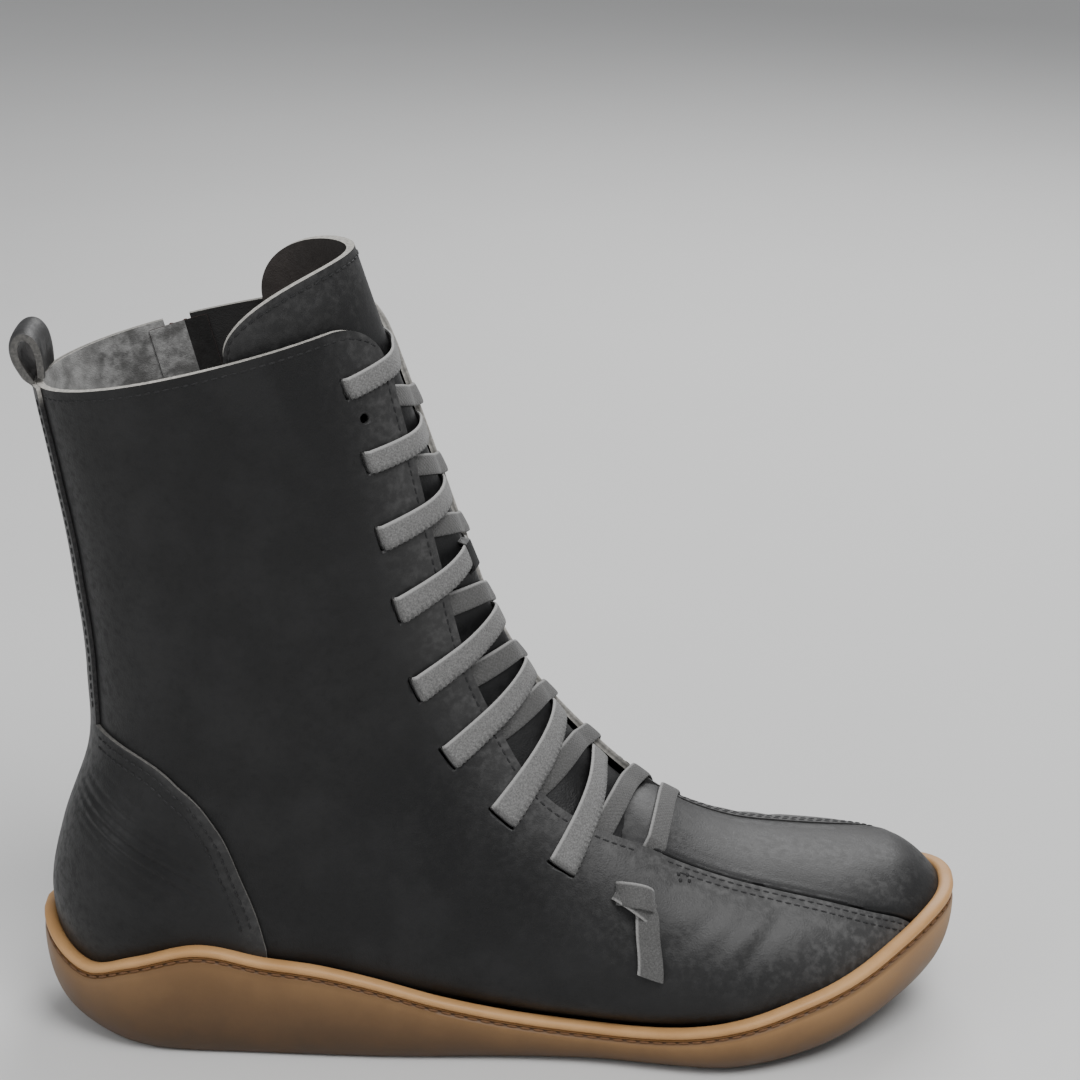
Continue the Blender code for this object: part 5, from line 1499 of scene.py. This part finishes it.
def bar_path(bar, side, depth):
    """Path of a bar: out of its slot, over its own flap, onto the tongue, under the other flap's edge."""
    slot_u, slot_a, far_u = bar
    own = slot_a - float(by_side(EDGES, slot_u, side))
    to_flap = slot_a + float(by_side(EDGES, far_u, -side))
    gone = np.linspace(0.0, to_flap + UNDER_FLAP, 110)
    run = max(SINK_RUN, slot_a - own) if side < 0 else SINK_RUN
    lift = OVER_FLAP + (depth - OVER_FLAP) * smooth(gone, own - 2.0, own + run)
    lift = np.minimum(lift, np.interp(gone, (0.0, 0.6, 1.7), (-3.2, -0.8, OVER_FLAP)))
    lift = np.minimum(lift, np.interp(gone - to_flap, (-4.0, 1.0), (OVER_FLAP, FLAP_DEPTH)))
    return np.column_stack([slot_u + (far_u - slot_u) * gone / to_flap, side * (slot_a - gone), lift])


def make_lace():
    """Bars of the lace: outer ones on top, inner ones beneath them on the tongue, the last on the vamp."""
    # The inner bars take the lace's copy with painted shade.
    sets = ((OUTER_BARS, -1, "outer", LACE, OUTER_DEPTHS, SCALLOP),
            (INNER_BARS, 1, "inner", LACE_SHADED, INNER_DEPTHS, 0.0))
    for bars, side, label, finish, depths, scallop in sets:
        for k, (bar, depth) in enumerate(zip(bars, depths), 1):
            surface = Surface()
            add_lace(surface, bar_path(bar, side, depth), scallop=scallop)
            surface.piece(f"lace_{label}_{k}", (finish,), "elastic", nodes=(f"lace_bar_{label}_{k}",))


def make_keeper():
    """Small leather loop on the tongue, arched over the lace."""
    t = np.linspace(0.0, 1.0, 60)[:, None]
    arch = np.clip(np.sin(np.pi * t) * KEEPER_STEEP, 0.0, 1.0)
    lift = -TONGUE_DEPTH - KEEPER_SINK + (KEEPER_RISE + KEEPER_SINK) * smooth(arch, 0.0, 1.0)
    a = KEEPER_MIDDLE + np.linspace(-0.5, 0.5, 13)[None, :] * KEEPER_WIDTH
    u, a, lift = np.broadcast_arrays(KEEPER_STATION + (t - 0.5) * KEEPER_LENGTH, a, lift)
    mask = np.stack([np.zeros(a.shape), np.full(a.shape, 0.05)], -1)
    top, bottom = skin(u, a, lift + KEEPER_THICK), skin(u, a, lift)
    make_leather("leather_keeper", "lace_keeper", top, bottom, None, mask)


def make_lace_ends():
    """Knot at each end hole, and the tail that hangs from it as a flat limp cord."""
    for (side, u, a), (length, down, back, shift, swing), label in zip(KNOT_HOLES, TAILS, ("outer", "inner")):
        t = np.linspace(0.0, 1.0, 60)
        gone = (length + TAIL_IN_KNOT + TAIL_INSIDE) * t - TAIL_INSIDE
        tail = np.column_stack([
            u + down * gone + shift * smooth(gone, -1.0, TAIL_IN_KNOT) + swing * smooth(t, 0.35, 1.0),
            side * (a + back * gone),
            np.interp(gone, *TAIL_LIFTS)])
        ribbon = Surface()
        add_lace(ribbon, tail)
        # Tails and knots take the lace's copy with painted shade.
        cord = ribbon.piece(f"lace_end_{label}", (LACE_SHADED,), "elastic", nodes=(f"lace_tail_{label}",))
        knot = Surface()
        turn = np.linspace(0.0, 1.0, 50)
        for tilt, rise, move in KNOT_BANDS:
            on, beside = move + tilt * (turn - 0.5), (turn - 0.5) * KNOT_LONG
            band = np.column_stack([
                u + down * on + back * beside, side * (a + back * on - down * beside),
                0.2 + rise * np.sin(np.pi * turn) ** 0.6])
            add_lace(knot, band)
        made = knot.piece(f"lace_knot_band_{label}", (LACE_SHADED,), "elastic", nodes=(f"lace_knot_{label}",))


# Zip

ZIP_LENGTH = float(np.linalg.norm(ZIP_TOP - ZIP_FOOT))


def zip_axes(shares):
    """Middle of the zip at shares of its length, with directions along it, across it and outwards."""
    middle = zip_grid(shares, np.array((0.0,)), 0.0)[:, 0]
    side = zip_grid(shares, np.array((-1.0, 1.0)), 0.0)
    up = unit(np.gradient(middle, axis=0)) if len(shares) > 2 else unit(
        zip_grid(shares + 0.01, np.array((0.0,)), 0.0)[:, 0] - middle)
    across = side[:, 1] - side[:, 0]
    out = unit(np.cross(across, up))
    out *= np.sign(out[:, 1:2])
    return middle, up, np.cross(up, out), out


def make_zip():
    """Woven tape behind the slit and two rows of slanted coil turns that meet in the middle."""
    shares = np.linspace(-0.02, 1.0, 150)
    offsets = np.linspace(ZIP_TAPE_HALF, -ZIP_TAPE_HALF, 19)
    lay = np.stack(np.broadcast_arrays(shares[:, None] * ZIP_LENGTH, offsets[None, :]), -1)
    surface = Surface()
    top = zip_grid(shares, offsets, ZIP_TAPE_LIFT)
    bottom = zip_grid(shares, offsets, ZIP_TAPE_LIFT - ZIP_TAPE_THICK)
    forward = np.broadcast_to(offsets[None, :-1] > FACING_OFFSET, (len(shares) - 1, len(offsets) - 1)).ravel()
    add_slab(surface, top, bottom, lay, None, finishes=(0, np.where(forward, 2, 1), 0))
    surface.piece("zip_woven_tape", (TAPE, SUEDE, FACING), "zip_cloth", nodes=("zip_tape",))
    teeth = Surface()
    count = int(ZIP_LENGTH * 0.98 / ZIP_TEETH_PITCH)
    spots = np.linspace(0.015, 0.995, count)
    middle, up, across, out = zip_axes(spots)
    for way in (-1.0, 1.0):
        slant = unit(way * across + ZIP_TEETH_SLANT * up)
        origin = middle + way * across * ZIP_TEETH_SPREAD + out * (ZIP_TAPE_LIFT + ZIP_TEETH_LIFT)
        add_copies(teeth, stitch_template(*ZIP_TURN), origin, np.stack([slant, np.cross(out, slant), out], 1))
    teeth.piece("zip_coil_turns", (TEETH,), "zip_cloth", nodes=("zip_coil",))
    stitches = Surface()
    rows = np.linspace(-0.012, 0.985, 200)
    for offset in ZIP_STITCH_ROWS:
        line = zip_grid(rows, np.array((offset,)), 0.12)[:, 0]
        normal = unit(zip_grid(rows, np.array((offset,)), 2.0)[:, 0] - line)
        add_stitches(stitches, line, normal, ZIP_PITCH, STITCH)
    stitches.piece("zip_stitches", (OLIVE_THREAD,), "leather")


def zip_hardware_frame():
    """Slider's place on the zip's line, with directions across, up and out."""
    share = 1.0 - (SLIDER_FROM_TOP + SLIDER_LENGTH / 2) / ZIP_LENGTH
    middle, up, across, out = zip_axes(np.array((share,)))
    return middle[0], across[0], up[0], out[0]


def plate_rings(outline, levels):
    """Rings of an outline (across, up) at levels of (scale inset, out)."""
    middle = outline.mean(axis=0)
    reach = np.linalg.norm(outline - middle, axis=1, keepdims=True)
    rings = []
    for inset, out in levels:
        moved = middle + (outline - middle) * (1.0 - inset / reach)
        rings.append(np.column_stack([moved, np.full(len(outline), out)]))
    return np.array(rings)


def swept(path, slope, aside):
    """Rings along a path in a plane: each of its points moved across its slope by the distances aside."""
    normal = np.column_stack([-slope[:, 1], slope[:, 0]])
    return path[:, None, :] + normal[:, None, :] * aside[None, :, None]


def make_slider():
    """Slider with waisted flanks and a bail, and the pull tab that hangs from the bail."""
    origin, across, up, out = zip_hardware_frame()
    axes = np.stack([across, up, out])
    turn = np.linspace(0.0, 2.0 * np.pi, 65)[:-1]
    along, wide = squared(np.sin(turn), 0.5), squared(np.cos(turn), 0.5)
    half = SLIDER_WIDTH / 2 * (0.80 + 0.20 * smooth(along, -0.6, 0.9))
    outline = np.column_stack([wide * half, along * SLIDER_LENGTH / 2])
    plate = SLIDER_BASE + SLIDER_THICK
    levels = ((0.6, SLIDER_BASE), (0.0, SLIDER_BASE + 0.5), (0.0, plate - 0.7), (0.25, plate - 0.2),
              (0.9, plate))
    rings = plate_rings(outline, levels)
    surface = Surface()
    add_tube(surface, origin + rings @ axes)
    t = np.linspace(0.0, np.pi, 25)
    reach, rise = BAIL_OPEN / 2 + BAIL_THICK / 2, BAIL_OPEN + BAIL_THICK / 2
    path = np.column_stack([np.cos(t) * reach, plate - 0.4 + (rise + 0.4) * np.sin(t) ** 0.5])
    slope = unit(np.gradient(path, axis=0))
    ring_turn = np.linspace(0.0, 2.0 * np.pi, 13)[:-1]
    ring = np.column_stack([np.cos(ring_turn) * 1.1, np.sin(ring_turn) * BAIL_THICK / 2])
    wide = np.broadcast_to(ring[None, :, :1], (len(t), len(ring), 1))
    bail = np.concatenate([wide, swept(path, slope, ring[:, 1])], -1)
    add_tube(surface, origin + bail @ axes)
    surface.piece("zip_slider_body", (LACQUER,), "zip_metal", nodes=("zip_slider",), sharp=35.0)
    make_tab(origin + out * (plate + BAIL_OPEN / 2), across, up, out)


def make_tab(pin, across, up, out):
    """Long slim tab: a ring round the bail that runs into a blade with a round end."""
    tilt = np.radians(TAB_TILT)
    down = -up * np.cos(tilt) - out * np.sin(tilt)
    axes = np.stack([across, -down, out * np.cos(tilt) - up * np.sin(tilt)])
    surface = Surface()
    turn = np.linspace(0.0, 2.0 * np.pi, 41)
    centre = -TAB_RING_LONG + TAB_BAR / 2 + 0.2
    path = np.column_stack([np.sin(turn) * TAB_RING_WIDE, centre + np.cos(turn) * TAB_RING_LONG])
    slope = unit(np.gradient(path, axis=0))
    slope[0] = slope[-1] = unit(slope[0] + slope[-1])
    ring_turn = np.linspace(0.0, 2.0 * np.pi, 13)[:-1]
    ring = np.column_stack([np.cos(ring_turn), np.sin(ring_turn)]) * TAB_BAR / 2
    thick = np.broadcast_to(ring[None, :, 1:], (len(turn), len(ring), 1))
    flat = np.concatenate([swept(path, slope, ring[:, 0]), thick], -1)[:-1]
    quads = grid_quads(len(turn), len(ring), closed=True) % (flat.shape[0] * flat.shape[1])
    surface.add(pin + flat @ axes, turned_out(flat @ axes, quads))
    t = np.linspace(0.0, 2.0 * np.pi, 65)[:-1]
    long = (TAB_LENGTH - 2.0 * TAB_RING_LONG + 1.0) / 2
    rise, wide = squared(np.sin(t), 0.55), squared(np.cos(t), 0.55)
    half = TAB_WIDTH / 2 * (0.62 + 0.38 * smooth(-rise, -0.9, 0.7))
    outline = np.column_stack([wide * half, -TAB_LENGTH + long + rise * long])
    thick = TAB_THICK / 2
    levels = ((0.5, -thick), (0.0, -thick + 0.35), (0.0, thick - 0.35), (0.5, thick))
    add_tube(surface, pin + plate_rings(outline, levels) @ axes)
    surface.piece("zip_tab", (LACQUER,), "zip_metal", body="tab", nodes=("zip_pull_tab",), sharp=35.0)


# Seams of the upper

def quarter_line(side, u, past):
    """Line on a quarter at stations u, past its edge by a distance, with the outward normals."""
    station = corner_station(u, past)
    a = side * (edge_at(u, side) + past)
    lift = crease_lift(station, a) * smooth(past, 0.0, CREASE_FROM_EDGE)
    return skin(station, a, lift - 0.05), skin_axes(station, a)[2]


TACK = np.array([
    # station and distance from the ridge of the four bar tacks at the foot of the lacing edge
    (86.0, -30.9), (83.3, -30.1), (85.4, -32.7), (82.7, -31.9),
])


def make_seams():
    """Stitch rows: along the vamp seams, the lacing edges and the collar."""
    stitches = Surface()
    for side in (-1, 1):
        rows = [(np.linspace(low, high, 300), np.full(300, inset)) for inset, low, high in SEAM_ROWS]
        end = float(reach_at(COLLAR, side) - edge_at(COLLAR, side)) - 15.0
        rows.append((np.full(300, COLLAR - COLLAR_ROW_INSET), np.linspace(COLLAR_ROW_INSET, end, 300)))
        for u, past in rows:
            add_stitches(stitches, *quarter_line(side, u, past), STITCH_PITCH, STITCH)
    along, across, out = skin_axes(TACK[:, 0], TACK[:, 1])
    add_copies(stitches, stitch_template(1.3, 1.1, 0.7), skin(TACK[:, 0], TACK[:, 1], 0.05),
               np.stack([across, along, out], 1))
    stitches.piece("upper_stitches", (DARK_THREAD,), "leather")


def make_all():
    """Build every piece."""
    make_camera()
    make_stage()
    outer, inner = make_quarter("quarter_outer", -1), make_quarter("quarter_inner", 1)
    cut(outer, slot_blocks(-1), "slots_outer")
    openings = slot_blocks(1)
    shares = np.linspace(0.0, ZIP_CUT_TO, 40)
    sides = np.array((-ZIP_SLIT / 2, ZIP_SLIT / 2))
    slit = [zip_grid(shares, sides, lift) for lift in (CUT_OVER, -WALL - ZIP_CUT_UNDER)]
    add_slab(openings, *slit, finishes=(0, 0, 0))
    cut(inner, openings, "openings_inner")
    make_vamp_strip()
    make_outsole()
    make_insole()
    make_tongue()
    make_heel_counter()
    make_backstay()
    make_pull_loop()
    make_lace()
    make_lace_ends()
    make_keeper()
    make_zip()
    make_slider()
    make_seams()


make_all()
